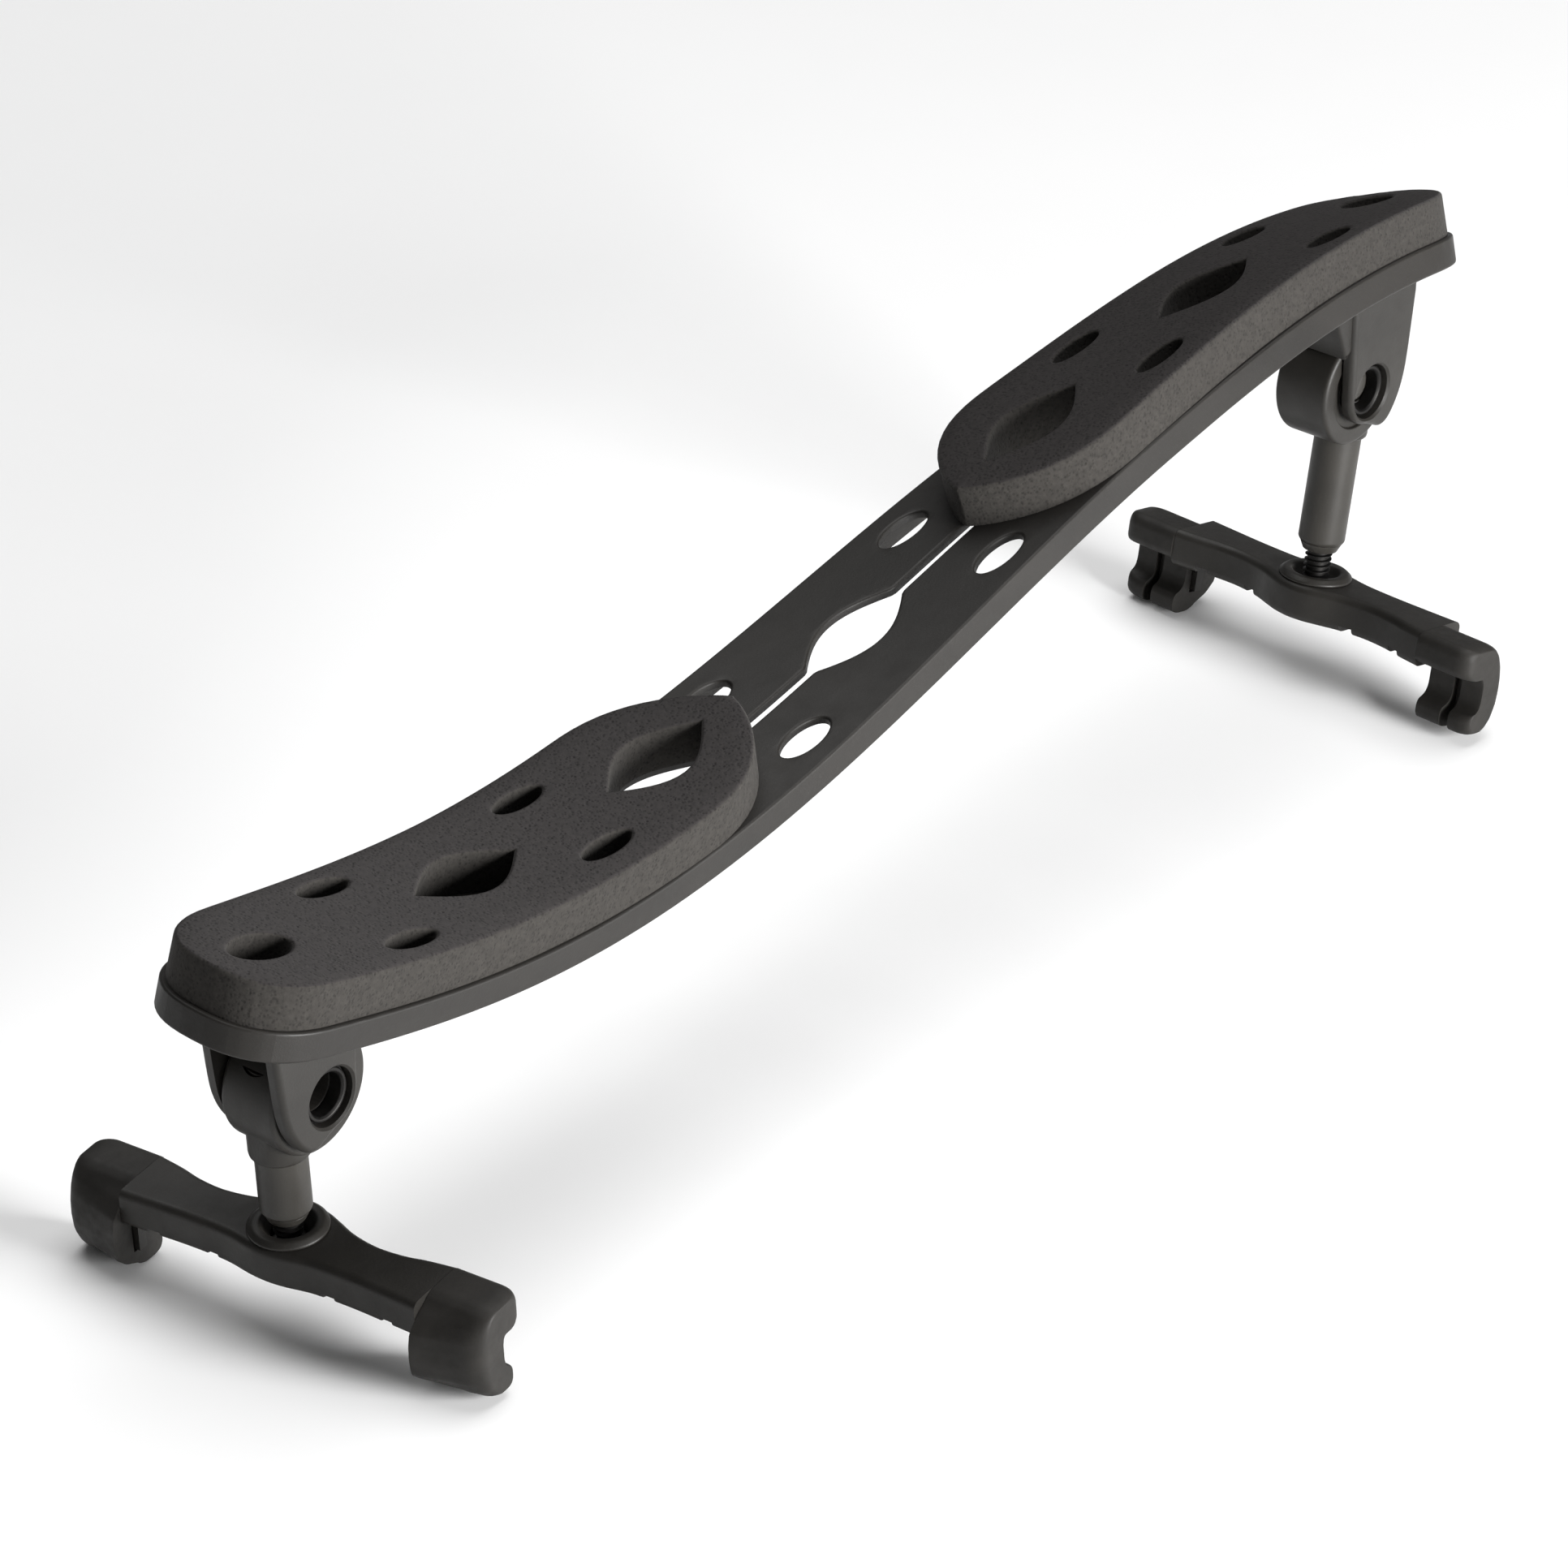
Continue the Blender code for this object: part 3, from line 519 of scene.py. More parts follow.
def piece(name, mesh, mats, body, nodes, matrix=None, angle=38):
    """A finished visible piece that rides on a body and stands for its CAD nodes."""
    if matrix is not None:
        mesh.transform(matrix)
    mesh.name = name
    mesh.materials.clear()
    for mat in mats if isinstance(mats, (list, tuple)) else [mats]:
        mesh.materials.append(mat)
    mesh.shade_smooth()
    mesh.set_sharp_from_angle(angle=math.radians(angle))
    item = bpy.data.objects.new(name, mesh)
    bpy.context.scene.collection.objects.link(item)
    normals = item.modifiers.new("normals", "WEIGHTED_NORMAL")
    normals.keep_sharp = True
    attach(item, body)
    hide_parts(*nodes)
    return item


# ---------------------------------------------------------------- the plate's surface

def end_share(x):
    """0 along most of the plate, growing towards the long leg's end."""
    return max(0.0, x / (100 * MM) - END_START)


def plate_height(x):
    share = x / (100 * MM)
    wave = sum(factor * share ** power for power, factor in enumerate(PLATE_WAVE))
    slope = (PIN["right"].z - PIN["left"].z) / (PIN["right"].x - PIN["left"].x)
    lift = 23.3 * end_share(x) ** 2 - 35.6 * end_share(x) ** 3
    return PIN["left"].z + slope * (x - PIN["left"].x) + (wave + lift) * MM


def plate_twist(x):
    share = x / (100 * MM)
    end_twist = 0.24 * end_share(x) ** 2 - 0.74 * end_share(x) ** 3
    return MIDDLE_TWIST - 0.35 * share + 0.17 * share ** 3 + end_twist


def on_plate(x, v, h):
    step = 0.5 * MM
    slope = (plate_height(x + step) - plate_height(x - step)) / (2 * step)
    along = Vector((1, 0, slope)).normalized()
    twist = plate_twist(x)
    across = Vector((0, math.cos(twist), math.sin(twist)))
    across = (across - along * across.dot(along)).normalized()
    up = along.cross(across)
    return Vector((x, 0, plate_height(x))) + across * v + up * h


def bent(mesh):
    for vertex in mesh.vertices:
        vertex.co = on_plate(*vertex.co)
    mesh.update()
    return mesh


def end_round(distance, length):
    if distance >= length:
        return 1.0
    return max(0.0, 1 - (1 - distance / length) ** END_BLUNTNESS) ** (1 / END_BLUNTNESS)


def plate_half_width(x):
    share = abs(x) / (100 * MM)
    width = PLATE_HALF_WIDTH - PLATE_END_NARROWING * share ** 2.5
    return width * end_round(PLATE_HALF_LENGTH - abs(x), PLATE_END_ROUND)


def pad_half_width(x):
    distance = abs(x) - PAD_INNER
    inset = PAD_INSET * min(1.0, distance / (45 * MM))
    share = abs(x) / (100 * MM)
    width = PLATE_HALF_WIDTH - PLATE_END_NARROWING * share ** 2.5 - inset
    nose = end_round(distance, PAD_NOSE) ** 2
    return width * nose * end_round(PAD_OUTER - abs(x), PLATE_END_ROUND - PAD_INSET)


def strip_outline(low, high, half_width, low_round, high_round):
    """Closed outline of a strip from its half width, with close points at its rounded ends."""
    start = [low + low_round * (1 - math.cos(math.pi / 2 * i / 15)) for i in range(15)]
    end = [high - high_round * (1 - math.cos(math.pi / 2 * i / 15)) for i in range(15)]
    count = max(2, round((high - high_round - low - low_round) / (2.5 * MM)))
    middle_low, middle_high = low + low_round, high - high_round
    middle = [middle_low + (middle_high - middle_low) * i / count for i in range(count + 1)]
    places = start + middle + list(reversed(end))
    upper = [(x, half_width(x)) for x in places]
    lower = [(x, -w) for x, w in reversed(upper) if w > 0.01 * MM]
    return upper + lower


def ellipse(x, v, half_length, half_width, count=40):
    turns = [2 * math.pi * i / count for i in range(count)]
    return [(x + half_length * math.cos(t), v + half_width * math.sin(t)) for t in turns]


def swell(share):
    return math.sin(math.pi * max(0.0, min(1.0, share)))


def pointed(low, high, half_width, count=22):
    """An eye along x on the centre line, pointed at both ends."""
    shares = [0.5 - 0.5 * math.cos(math.pi * i / count) for i in range(count)]
    upper = [(low + (high - low) * s, half_width * swell(s)) for s in shares]
    lower = [(a, -b) for a, b in reversed(upper[1:])]
    return upper + [(high, 0.0)] + lower


def pad_outlines(side):
    """A pad's outer edge, pointed inwards and blunt outwards, and its seven openings."""
    sign = SIDES[side]
    ends, rounds = (PAD_INNER, PAD_OUTER), (PAD_NOSE, PLATE_END_ROUND)
    if sign < 0:
        ends, rounds = (-PAD_OUTER, -PAD_INNER), (PLATE_END_ROUND, PAD_NOSE)
    outlines = [strip_outline(*ends, pad_half_width, *rounds)]
    for start, end, half_width in PAD_EYES:
        outlines.append(pointed(*sorted((sign * start, sign * end)), half_width))
    x, half_length, half_width = PAD_END_HOLE
    outlines.append(ellipse(sign * x, 0, half_length, half_width))
    for x, half_length in PAD_OVALS:
        for v in (-PAD_OVAL_V, PAD_OVAL_V):
            outlines.append(ellipse(sign * x, v, half_length, PAD_OVAL_HALF_WIDTH))
    return outlines


def plate_outlines():
    """Outer edge, the long opening on the centre line and four ovals."""
    reach = PLATE_HALF_LENGTH
    outer = strip_outline(-reach, reach, plate_half_width, PLATE_END_ROUND, PLATE_END_ROUND)

    def opening(x):
        eye = EYE_HALF_WIDTH * swell((x + EYE_HALF_LENGTH) / (2 * EYE_HALF_LENGTH))
        drop = DROP_HALF_WIDTH * swell((abs(x) - DROP_START) / (DROP_END - DROP_START))
        slit = SLIT_WIDTH / 2 if abs(x) < SLIT_END else 0.0
        return max(eye, drop, slit)

    count = 150
    places = [DROP_END * (2 * i / count - 1) for i in range(1, count)]
    upper = [(x, opening(x)) for x in places]
    lower = [(x, -w) for x, w in reversed(upper)]
    outlines = [outer, [(-DROP_END, 0.0)] + upper + [(DROP_END, 0.0)] + lower]
    for x in (-OVAL_X, OVAL_X):
        for v in (-OVAL_V, OVAL_V):
            outlines.append(ellipse(x, v, OVAL_HALF_LENGTH, OVAL_HALF_WIDTH))
    return outlines


# ---------------------------------------------------------------- plate and pads

def pocket_outline(low, high):
    """A rounded pocket inside the plate's rim between two places along it."""

    def half_width(x):
        distance = min(x - low, high - x)
        return max(0.0, (plate_half_width(x) - RIM_WIDTH) * end_round(distance, POCKET_ROUND))

    return strip_outline(low, high, half_width, POCKET_ROUND, POCKET_ROUND)


def make_plate():
    """The strip with its openings, hollowed from below, bent and twisted."""
    mesh = rounded_prism(plate_outlines(), -RIM_HEIGHT, 0, RIM_SOFTNESS, steps=3)
    inner = PLATE_HALF_LENGTH - RIM_WIDTH
    under = -RIM_HEIGHT - OVERSHOOT
    for side, sign in SIDES.items():
        outline = pocket_outline(*sorted((sign * POCKET_START, sign * inner)))
        pocket = rounded_prism([outline], under, -WEB_THICKNESS, POCKET_EDGE)
        at = (SCREW_PLACE[side], 0)
        head = rod(FASTENER_HEAD_RADIUS + GAP, -FASTENER_HEAD_HEIGHT - GAP, OVERSHOOT, at=at)
        shank = rod(FASTENER_SHANK_RADIUS + GAP, under, OVERSHOOT, at=at)
        mesh = cut(mesh, pocket, head, shank)
    outline = pocket_outline(-MIDDLE_POCKET, MIDDLE_POCKET)
    pocket = rounded_prism([outline], under, -MIDDLE_WEB, MIDDLE_EDGE)
    mesh = bent(sliced(cut(mesh, pocket), *GRID["plate"]))
    piece("base_plate_shell", mesh, PLATE_PLASTIC, "plate", ["base_plate"])


def make_pad(side):
    """Foam cut sharp below, softened above, with its top edge drawn in a little."""
    outlines = pad_outlines(side)
    mesh = rounded_prism(outlines, PAD_LOW - OVERSHOOT, PAD_THICKNESS, PAD_EDGE, steps=3)
    reach = 130 * MM
    mesh = cut(mesh, box((-reach, reach), (-reach, reach), (-reach, PAD_LOW)))
    mesh = sliced(mesh, *GRID["pad"])
    for vertex in mesh.vertices:
        x, v, h = vertex.co
        lift = (h - PAD_LOW) / (PAD_THICKNESS - PAD_LOW)
        edge = max(0.0, 1 - (pad_half_width(x) - abs(v)) / PAD_DOME_WIDTH)
        vertex.co.z -= PAD_DOME * edge ** 2 * lift
        vertex.co.y -= math.copysign(PAD_LEAN * lift * edge, v)
    normals = [face.normal.z for face in mesh.polygons]
    mesh = bent(mesh)
    item = piece("foam_" + side, mesh, [FOAM_TOP, FOAM_SIDE_PAINTED_LIGHT], "plate", ["foam_pad_" + side])
    # Faces that point up take the foam top colour; the side walls take the lighter copy, which is
    # painted light.
    for face, up in zip(item.data.polygons, normals):
        face.material_index = 0 if abs(up) > 0.75 else 1


def make_bracket_screw(side):
    """Flat-headed screw with a cross recess, under the foam."""
    head, shank, centre = FASTENER_HEAD_RADIUS, FASTENER_SHANK_RADIUS, 0.05 * MM
    profile = [(head, 0), (head, -FASTENER_HEAD_HEIGHT), (shank, -FASTENER_HEAD_HEIGHT),
               (shank, -FASTENER_LENGTH), (centre, -FASTENER_LENGTH), (centre, 0)]
    mesh = turned(profile, 40)
    slot_length, slot_width, slot_depth = 1.2 * MM, 0.25 * MM, 0.6 * MM
    for x, y in ((slot_length, slot_width), (slot_width, slot_length)):
        mesh = cut(mesh, box((-x, x), (-y, y), (-slot_depth, OVERSHOOT)))
    mesh.transform(Matrix.Translation((SCREW_PLACE[side], 0, 0)))
    piece("bracket_fastener_" + side, bent(mesh), BLACK_STEEL, "plate", ["bracket_screw_" + side])


# ---------------------------------------------------------------- hinge bracket

def hinge_matrix(side):
    return Matrix.Translation(PIN[side])


def leg_matrix(side):
    return hinge_matrix(side) @ Matrix.Rotation(SIDES[side] * LEAN[side], 4, "Y")


def foot_matrix(side):
    sign = SIDES[side]
    turn = Matrix.Rotation(sign * LEAN[side], 4, "Y") @ Matrix.Rotation(-sign * TOE_IN, 4, "Z")
    return Matrix.Translation(FOOT[side]) @ turn


def around_pin(side, mesh):
    mesh.transform(Matrix.Translation(-PIN[side]))
    return mirrored(mesh, side)


def ear_outline(top):
    """One ear in u and z: round below the hole, with a lobe outside it and a slanted outer edge."""
    round_radius = 4.4 * MM
    lobe = [(-0.6, -4.4), (0.9, -5.1), (2.5, -5.8), (4.1, -5.3), (5.7, -3.6), (7.0, -1.2),
            (7.9, 2.2), (9.2, 11.0)]
    points = [(-round_radius, top)] + arc((0, 0), round_radius, 180, 258, 26)
    points += smooth_outline([(u * MM, z * MM) for u, z in lobe], 5, False)
    points.append((9.4 * MM, top))
    return points


def lug_outline(low, top):
    """The lug between the ears in u and z: it comes down to the hub's rim beside the ears."""
    points = [(-11.8 * MM, top), (-11.8 * MM, low), (-7.6 * MM, low)]
    return points + arc((0, 0), HUB_RADIUS + 0.5 * MM, 130, 118, 8) + [(-3.8 * MM, top)]


def make_ear(top):
    """The rear ear: well rounded outside, square towards the hub, its round hole chamfered."""
    mesh = rounded_prism([ear_outline(top)], EAR_INNER - 2 * EAR_EDGE, EAR_OUTER, EAR_EDGE, "Y", 4)
    reach = 30 * MM
    inside = box((-reach, reach), (-reach, EAR_INNER), (-reach, reach))
    hole = rod(EAR_HOLE, 0, 10 * MM, "Y", sides=80)
    chamfer = turned([(0.05 * MM, 5.0 * MM), (EAR_HOLE - 0.2 * MM, 5.3 * MM),
                      (EAR_HOLE + 1.0 * MM, 6.5 * MM), (0.05 * MM, 6.5 * MM)], 80, 0.02 * MM)
    chamfer.transform(Matrix.Rotation(-math.pi / 2, 4, "X"))
    return cut(mesh, inside, hole, chamfer)


def make_bracket(side):
    """Two ears and the lug between them, cut to the plate's underside."""
    rear = make_ear(EAR_TOP)
    front = rear.copy()
    front.transform(Matrix.Scale(-1, 4, (0, 1, 0)))
    front.flip_normals()
    web_under = plate_height(SCREW_PLACE[side]) - WEB_THICKNESS - PIN[side].z
    lug = rounded_prism([lug_outline(web_under - LUG_DEPTH, EAR_TOP - MM)],
                        -LUG_HALF_WIDTH, LUG_HALF_WIDTH, LUG_EDGE, "Y")
    mesh = union(lug, rear, front)
    reach = 16 * MM
    centre = SIDES[side] * PIN_X[side]
    limit = box((centre - reach, centre + reach), (-reach, reach), (-WEB_THICKNESS - GAP, 30 * MM))
    limit = around_pin(side, bent(sliced(limit, 1.5 * MM, 0)))
    at = (SCREW_PLACE[side], 0)
    hole = rod(FASTENER_SHANK_RADIUS + GAP, -2 * FASTENER_LENGTH, 0, at=at)
    mesh = cut(mesh, limit, around_pin(side, bent(hole)))
    piece("bracket_" + side, mirrored(mesh, side), PLASTIC, "plate", ["hinge_bracket_" + side],
          hinge_matrix(side))


# ---------------------------------------------------------------- leg

def make_hub(side):
    """Drum with a recess round the bush on each face, a collar for the tube and a flat for the stud."""
    w, r = HUB_HALF_WIDTH, HUB_RADIUS
    rim = 0.6 * MM
    recess, seat, seat_radius = 3.4 * MM, 3.0 * MM, BUSH_RADIUS + GAP
    profile = arc((r - rim, w - rim), rim, 0, 90, 6)
    profile += [(RECESS_RADIUS, w), (RECESS_RADIUS, recess), (seat_radius, recess),
                (seat_radius, seat), (BORE_RADIUS, seat), (BORE_RADIUS, -seat),
                (seat_radius, -seat), (seat_radius, -recess), (RECESS_RADIUS, -recess),
                (RECESS_RADIUS, -w)]
    profile += arc((r - rim, rim - w), rim, -90, 0, 6)
    drum = turned(profile, 96, 0.2 * MM)
    drum.transform(Matrix.Rotation(math.pi / 2, 4, "X"))
    core = 1.0 * MM
    collar = turned([(COLLAR_RADIUS, COLLAR_TOP), (COLLAR_RADIUS, COLLAR_LOW), (core, COLLAR_LOW),
                     (core, COLLAR_TOP)], 72, 0.6 * MM)
    collar.transform(Matrix.Translation((LEG_OFFSET, 0, 0)))
    bore = rod(BORE_RADIUS, -10 * MM, 10 * MM, "Y")
    mesh = union(drum, collar)
    tube_way = rod(TUBE_RADIUS + GAP, -20 * MM, TUBE_TOP + GAP, at=(LEG_OFFSET, 0))
    flat = box((-9 * MM, 9 * MM), (-9 * MM, 9 * MM), (HUB_TOP_FLAT, 20 * MM))
    stem_way = rod(STEM_RADIUS + GAP, STEM_LOW - GAP, 20 * MM)
    mesh = cut(mesh, bore, tube_way, flat, stem_way)
    piece("hub_" + side, mirrored(mesh, side), PLASTIC, "leg_" + side, ["leg_hub_" + side],
          leg_matrix(side))


def make_bush(side, place):
    low, high = HUB_HALF_WIDTH - 0.8 * MM, BUSH_OUTER
    profile = [(BUSH_RADIUS, high - 0.15 * MM), (BUSH_RADIUS, low), (BORE_RADIUS, low),
               (BORE_RADIUS, high - 0.3 * MM), (BORE_RADIUS + 0.25 * MM, high),
               (BUSH_RADIUS - 0.15 * MM, high)]
    mesh = turned(profile, 80, 0.08 * MM)
    turn = math.pi / 2 if place == "front" else -math.pi / 2
    mesh.transform(Matrix.Rotation(turn, 4, "X"))
    piece(f"bush_{side}_{place}", mirrored(mesh, side), BLACK_STEEL, "leg_" + side,
          [f"hinge_bush_{side}_{place}"], leg_matrix(side))


def make_stud(side):
    """Round stud with a groove, a dished top and a stem in the drum."""
    low, top, wide, waist = HUB_TOP_FLAT + GAP, STUD_TOP, STUD_RADIUS, STUD_WAIST
    profile = [(2.9 * MM, top), (wide, top - 0.35 * MM), (wide, top - 0.8 * MM),
               (waist, top - 0.95 * MM), (waist, top - 1.35 * MM), (wide, top - 1.5 * MM),
               (wide, low), (STEM_RADIUS, low), (STEM_RADIUS, STEM_LOW), (0.05 * MM, STEM_LOW),
               (0.05 * MM, top - 0.3 * MM), (0.9 * MM, top - 0.3 * MM), (1.2 * MM, top)]
    mesh = turned(profile, 72, 0.1 * MM)
    piece("stud_" + side, mirrored(mesh, side), PLASTIC, "leg_" + side, ["stop_stud_" + side],
          leg_matrix(side))


def make_tube(side):
    """Tube with a small chamfer at its end."""
    length = TUBE_LENGTH[side]
    inner, wide = 2.05 * MM, 2.5 * MM
    seat = -length + 5 * MM
    profile = [(TUBE_RADIUS, TUBE_TOP), (TUBE_RADIUS, -length + 0.4 * MM),
               (TUBE_RADIUS - 0.25 * MM, -length), (wide, -length), (wide, seat), (inner, seat),
               (inner, TUBE_TOP)]
    mesh = turned(profile, 72, 0.14 * MM)
    mesh.transform(Matrix.Translation((LEG_OFFSET, 0, 0)))
    piece("tube_" + side, mirrored(mesh, side), TUBE_PLASTIC, "leg_" + side,
          ["leg_tube_" + side], leg_matrix(side))


def make_insert(side):
    """Sleeve with a screw thread inside and a short conical nose below the tube's end."""
    length = TUBE_LENGTH[side]
    inner, outer = SCREW_RADIUS + 0.25 * MM, 2.3 * MM
    top, flange, low = -length + 4.7 * MM, -length - 0.04 * MM, -length - 1.1 * MM
    profile = [(outer, top), (outer, flange), (2.7 * MM, flange), (inner + 0.2 * MM, low)]
    height = low + 0.3 * MM
    while height < top - 0.5 * MM:
        profile += [(inner, height), (inner + 0.18 * MM, height + THREAD_PITCH / 2)]
        height += THREAD_PITCH
    profile.append((inner, top))
    mesh = turned(profile, 60, 0.06 * MM)
    mesh.transform(Matrix.Translation((LEG_OFFSET, 0, 0)))
    piece("insert_" + side, mirrored(mesh, side), TUBE_PLASTIC, "leg_" + side,
          ["thread_insert_" + side], leg_matrix(side))


# ---------------------------------------------------------------- foot

def make_screw(side):
    """Height screw with a real helical thread and a captive disc."""
    disc = -SOCKET_DEPTH + GAP
    top = SCREW_LENGTH - 1.5 * MM
    root = SCREW_RADIUS - 0.38 * MM
    profile = [(root, top), (root, disc + 1.0 * MM), (3.0 * MM, disc + 1.0 * MM), (3.0 * MM, disc),
               (0.05 * MM, disc), (0.05 * MM, top)]
    core = turned(profile, 48, 0.12 * MM)
    start, end = disc + 1.6 * MM, top - 0.3 * MM
    around = 30
    count = int((end - start) / THREAD_PITCH * around)
    work = bmesh.new()
    work.from_mesh(core)
    section = ((root - 0.12 * MM, -0.30), (SCREW_RADIUS - 0.02 * MM, -0.07),
               (SCREW_RADIUS - 0.02 * MM, 0.07), (root - 0.12 * MM, 0.30))
    before = None
    for step in range(count + 1):
        angle = 2 * math.pi * step / around
        height = start + THREAD_PITCH * step / around
        fade = min(1.0, step / 8, (count - step) / 8)
        ring = []
        for radius, rise in section:
            reach = (root - 0.12 * MM) + (radius - root + 0.12 * MM) * fade
            ring.append(work.verts.new((reach * math.cos(angle), reach * math.sin(angle),
                                        height + rise * THREAD_PITCH * max(fade, 0.05))))
        if before:
            for index in range(4):
                after = (index + 1) % 4
                work.faces.new((before[index], before[after], ring[after], ring[index]))
        else:
            work.faces.new(ring)
        before = ring
    work.faces.new(list(reversed(before)))
    bmesh.ops.recalc_face_normals(work, faces=work.faces)
    work.to_mesh(core)
    work.free()
    piece("threaded_screw_" + side, mirrored(core, side), BLACK_STEEL, "screw_" + side,
          ["height_screw_" + side], foot_matrix(side), angle=30)


def make_ring(side):
    disc_top = -SOCKET_DEPTH + GAP + 1.0 * MM
    profile = [(4.1 * MM, 0.85 * MM), (4.7 * MM, 0.35 * MM), (4.7 * MM, 0.05 * MM),
               (3.1 * MM, 0.05 * MM), (3.1 * MM, disc_top + GAP),
               (SCREW_RADIUS + GAP, disc_top + GAP), (SCREW_RADIUS + GAP, disc_top + 0.8 * MM),
               (2.7 * MM, 0.0), (3.2 * MM, 0.85 * MM)]
    mesh = turned(profile, 80, 0.25 * MM)
    piece("ring_" + side, mirrored(mesh, side), PLASTIC, "height_" + side,
          ["swivel_ring_" + side], foot_matrix(side))


def fork_outline():
    """The bar from above: a round boss, a waist to each side and full width at the claws."""
    inner = [(-5.2, 0.0), (-4.9, 2.2), (-4.1, 4.4), (-3.1, 7.0), (-2.5, 10.5), (-2.7, 14.0),
             (-3.4, 17.2), (-4.1, 22.0)]
    outer = [(4.6, 22.0), (4.3, 16.0), (4.1, 11.0), (4.2, 6.0), (4.8, 2.5), (5.0, 0.0)]
    whole_inner = [(u, -y) for u, y in reversed(inner[1:])] + inner
    whole_outer = outer + [(u, -y) for u, y in reversed(outer[:-1])]
    points = smooth_outline(whole_inner, 5, False) + smooth_outline(whole_outer, 5, False)
    return [(u * MM, y * MM) for u, y in points]


def claw_core(low, high, grow=0.0):
    tongue = box((-2.8 * MM - grow, 2.3 * MM + grow), (low - grow, high + grow),
                 (-3.0 * MM - grow, -1.3 * MM + grow))
    leg_down = box((1.3 * MM - grow, 2.6 * MM + grow), (low - grow, high + grow),
                   (-9.2 * MM - grow, -2.6 * MM))
    return union(tongue, leg_down)


def make_fork(side):
    """Crossbar with soft edges, a round boss, notches below and a tongue in each claw."""
    mesh = rounded_prism([fork_outline()], -FORK_THICKNESS, 0, 1.0 * MM, steps=4)
    reach = 40 * MM
    for sign in (-1, 1):
        beyond = sorted((sign * FORK_SHOULDER, sign * reach))
        mesh = cut(mesh, box((-reach, reach), beyond, (-reach, reach)))
        tongue = sorted((sign * (FORK_SHOULDER - 0.6 * MM), sign * FORK_TIP))
        mesh = union(mesh, claw_core(*tongue))
    tools = [rod(SOCKET_RADIUS, -SOCKET_DEPTH, 5 * MM)]
    for place in (-16, -8, 8, 16):
        middle = place * MM
        tools.append(box((-9 * MM, 9 * MM), (middle - 0.9 * MM, middle + 0.9 * MM),
                         (-9 * MM, -FORK_THICKNESS + 0.9 * MM)))
    mesh = cut(mesh, *tools)
    piece("fork_" + side, mirrored(mesh, side), PLASTIC, "foot_" + side, ["fork_foot_" + side],
          foot_matrix(side))


def grip_profile():
    points = [(-3.1, 0.0), (-3.8, -0.4), (-4.1, -1.1), (-4.1, -3.2), (-3.7, -3.9), (-3.0, -4.1),
              (-1.0, -4.1), (-0.5, -4.5), (-0.2, -5.3), (-0.2, -7.6), (-0.5, -8.5), (-1.1, -9.0),
              (-1.8, -9.3), (-2.1, -9.9), (-2.1, -11.1), (-1.6, -11.8), (-0.7, -12.0), (1.0, -12.0),
              (2.2, -11.5), (3.4, -10.3), (4.2, -8.4), (4.4, -6.5), (4.3, -4.7), (3.9, -3.0),
              (3.2, -1.5), (2.2, -0.5), (1.0, 0.0)]
    return [(u * MM, z * MM) for u, z in points]


def grip_stations(low, high, end_round_length):
    """Places along the bar with how far the section has shrunk there: 0, then a round free end."""
    straight = high - end_round_length
    stations = [(low + (straight - low) * step / 6, 0.0) for step in range(7)]
    for step in range(1, 9):
        angle = math.pi / 2 * step / 8
        stations.append((straight + end_round_length * math.sin(angle), 1 - math.cos(angle)))
    return stations


def make_grip(side, place):
    """Rubber claw lofted along the bar: rounded free end, flared root and two toes."""
    low, high = FORK_SHOULDER + 0.05 * MM, GRIP_TIP
    outline = rounded_profile(grip_profile(), 0.45 * MM, 3)
    centre = Vector((0.2 * MM, -5.0 * MM))
    flare_start = 2.7 * MM
    work = bmesh.new()
    rings = []
    for y, shrink in grip_stations(low, high, 2.3 * MM):
        ring = []
        flare = max(0.0, 1 - (y - low) / (high - low)) ** 1.2
        for u, z in outline:
            if u > flare_start:
                u += GRIP_TAPER * flare * min(1, (u - flare_start) / (1.3 * MM))
            inset_u = 1.7 * MM * shrink * (u - centre.x) / (4.3 * MM)
            inset_z = 0.6 * MM * shrink * (z - centre.y) / (6.0 * MM)
            ring.append(work.verts.new((u - inset_u, y, z - inset_z)))
        rings.append(ring)
    count = len(outline)
    for ring, following in zip(rings, rings[1:]):
        for k in range(count):
            after = (k + 1) % count
            work.faces.new((ring[k], ring[after], following[after], following[k]))
    work.faces.new(rings[0])
    work.faces.new(list(reversed(rings[-1])))
    bmesh.ops.recalc_face_normals(work, faces=work.faces)
    mesh = bpy.data.meshes.new("grip")
    work.to_mesh(mesh)
    work.free()
    middle = 24.8 * MM
    groove = rounded_prism([[(-3.2 * MM, middle - 0.75 * MM), (-3.2 * MM, middle + 0.75 * MM),
                             (0.7 * MM, middle + 0.55 * MM), (0.7 * MM, middle - 0.55 * MM)]],
                           -13 * MM, -4.4 * MM, 0.2 * MM)
    mesh = cut(mesh, claw_core(low - 3 * MM, FORK_TIP, GAP), groove)
    if place == "front":
        mesh.transform(Matrix.Scale(-1, 4, (0, 1, 0)))
        mesh.flip_normals()
    piece(f"grip_{side}_{place}", mirrored(mesh, side), RUBBER, "foot_" + side,
          [f"claw_grip_{side}_{place}"], foot_matrix(side))


# ---------------------------------------------------------------- stage, lights and camera

def floor_material():
    n = Nodes("pale_floor")
    n.set("Base Color", n.ramp(n.noise(3, 3), (0.3, (0.90, 0.90, 0.90)), (0.7, (0.93, 0.93, 0.93))))
    n.set("Roughness", n.ramp(n.noise(60, 2), (0.3, 0.75), (0.7, 0.85)))
    return n.mat


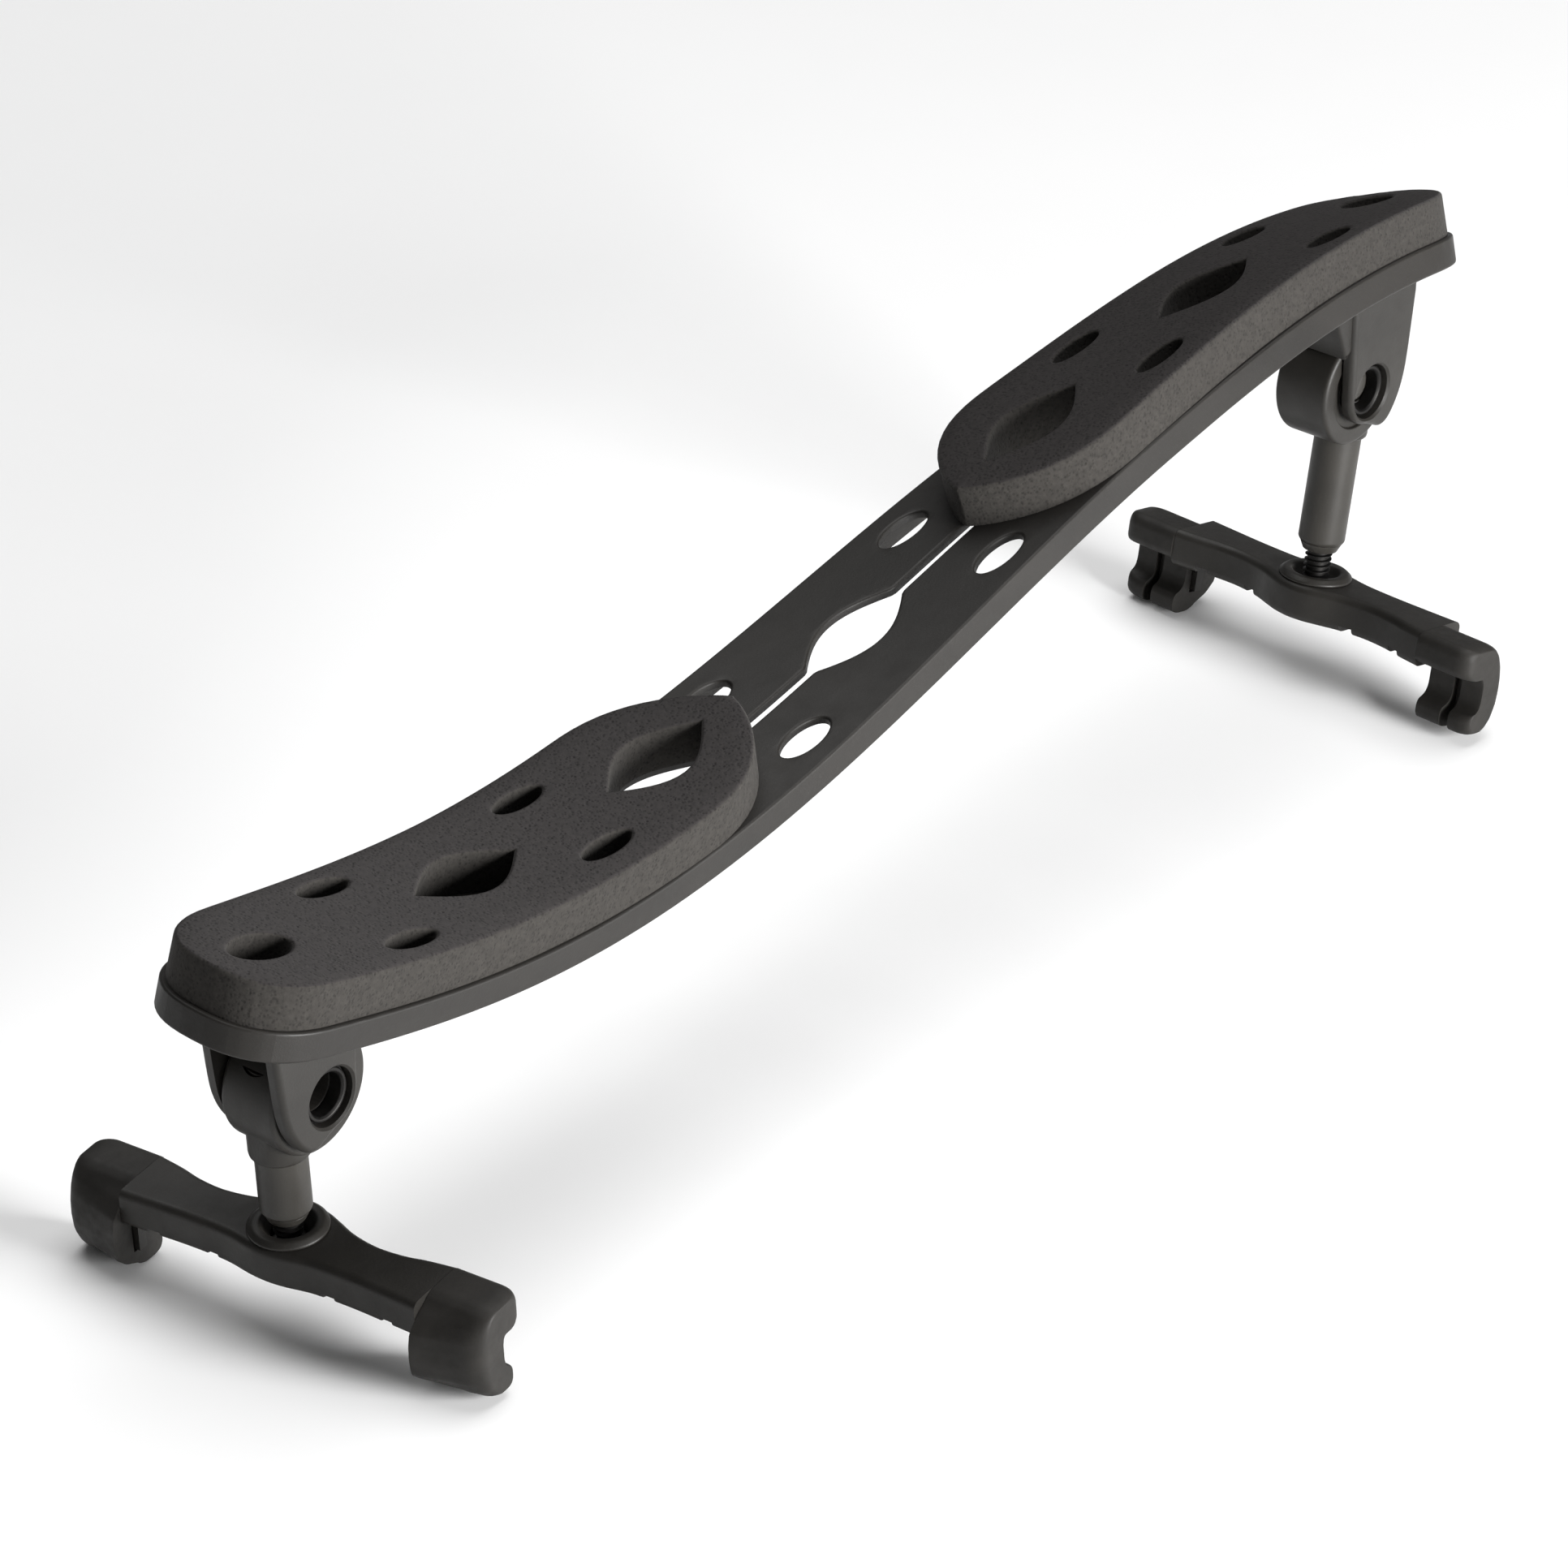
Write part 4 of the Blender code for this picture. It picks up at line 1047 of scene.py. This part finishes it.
def make_stage():
    mesh = bpy.data.meshes.new("floor")
    work = bmesh.new()
    bmesh.ops.create_grid(work, x_segments=4, y_segments=4, size=6.0)
    work.to_mesh(mesh)
    work.free()
    mesh.materials.append(floor_material())
    floor = bpy.data.objects.new("floor", mesh)
    floor.location = (0, 0, CAD_LOW.z - 0.1 * MM)
    bpy.context.scene.collection.objects.link(floor)
    world = bpy.data.worlds.new("studio")
    world.use_nodes = True
    bpy.context.scene.world = world
    background = world.node_tree.nodes["Background"]
    background.inputs["Color"].default_value = (1.0, 1.0, 1.0, 1.0)
    background.inputs["Strength"].default_value = 0.1
    bpy.context.scene.view_settings.view_transform = "Standard"


def area_light(name, azimuth, elevation, distance, size, power, aim=(0, 0, 0.03)):
    a, e = math.radians(azimuth), math.radians(elevation)
    back = Vector((math.sin(a) * math.cos(e), -math.cos(a) * math.cos(e), math.sin(e)))
    data = bpy.data.lights.new(name, "AREA")
    data.shape = "DISK"
    data.size = size
    data.energy = power
    light = bpy.data.objects.new(name, data)
    light.location = Vector(aim) + back * distance
    light.rotation_mode = "QUATERNION"
    light.rotation_quaternion = back.to_track_quat("Z", "Y")
    light.visible_camera = False
    bpy.context.scene.collection.objects.link(light)


def make_camera():
    azimuth, elevation, roll = math.radians(-51.52), math.radians(29.91), math.radians(-0.52)
    back = Vector((math.sin(azimuth) * math.cos(elevation), -math.cos(azimuth) * math.cos(elevation),
                   math.sin(elevation)))
    level = Vector((math.cos(azimuth), math.sin(azimuth), 0))
    above = back.cross(level)
    right = level * math.cos(roll) - above * math.sin(roll)
    up = level * math.sin(roll) + above * math.cos(roll)
    data = bpy.data.cameras.new("camera")
    data.sensor_width = 36
    data.lens = 178
    data.clip_start = 0.05
    data.clip_end = 20
    camera = bpy.data.objects.new("camera", data)
    camera.matrix_world = (Matrix.Translation((-0.6274, -0.4885, 0.4815))
                           @ Matrix((right, up, back)).transposed().to_4x4())
    bpy.context.scene.collection.objects.link(camera)
    bpy.context.scene.camera = camera


make_plate()
for which in SIDES:
    make_pad(which)
    make_bracket_screw(which)
    make_bracket(which)
    make_hub(which)
    for end in ("front", "rear"):
        make_bush(which, end)
        make_grip(which, end)
    make_stud(which)
    make_tube(which)
    make_insert(which)
    make_screw(which)
    make_ring(which)
    make_fork(which)
make_stage()
area_light("key", 4, 12, 0.6, 0.3, 9, (-0.02, 0, 0.03))
area_light("top", 120, 74, 2.0, 2.2, 34)
make_camera()

bpy.context.view_layer.update()
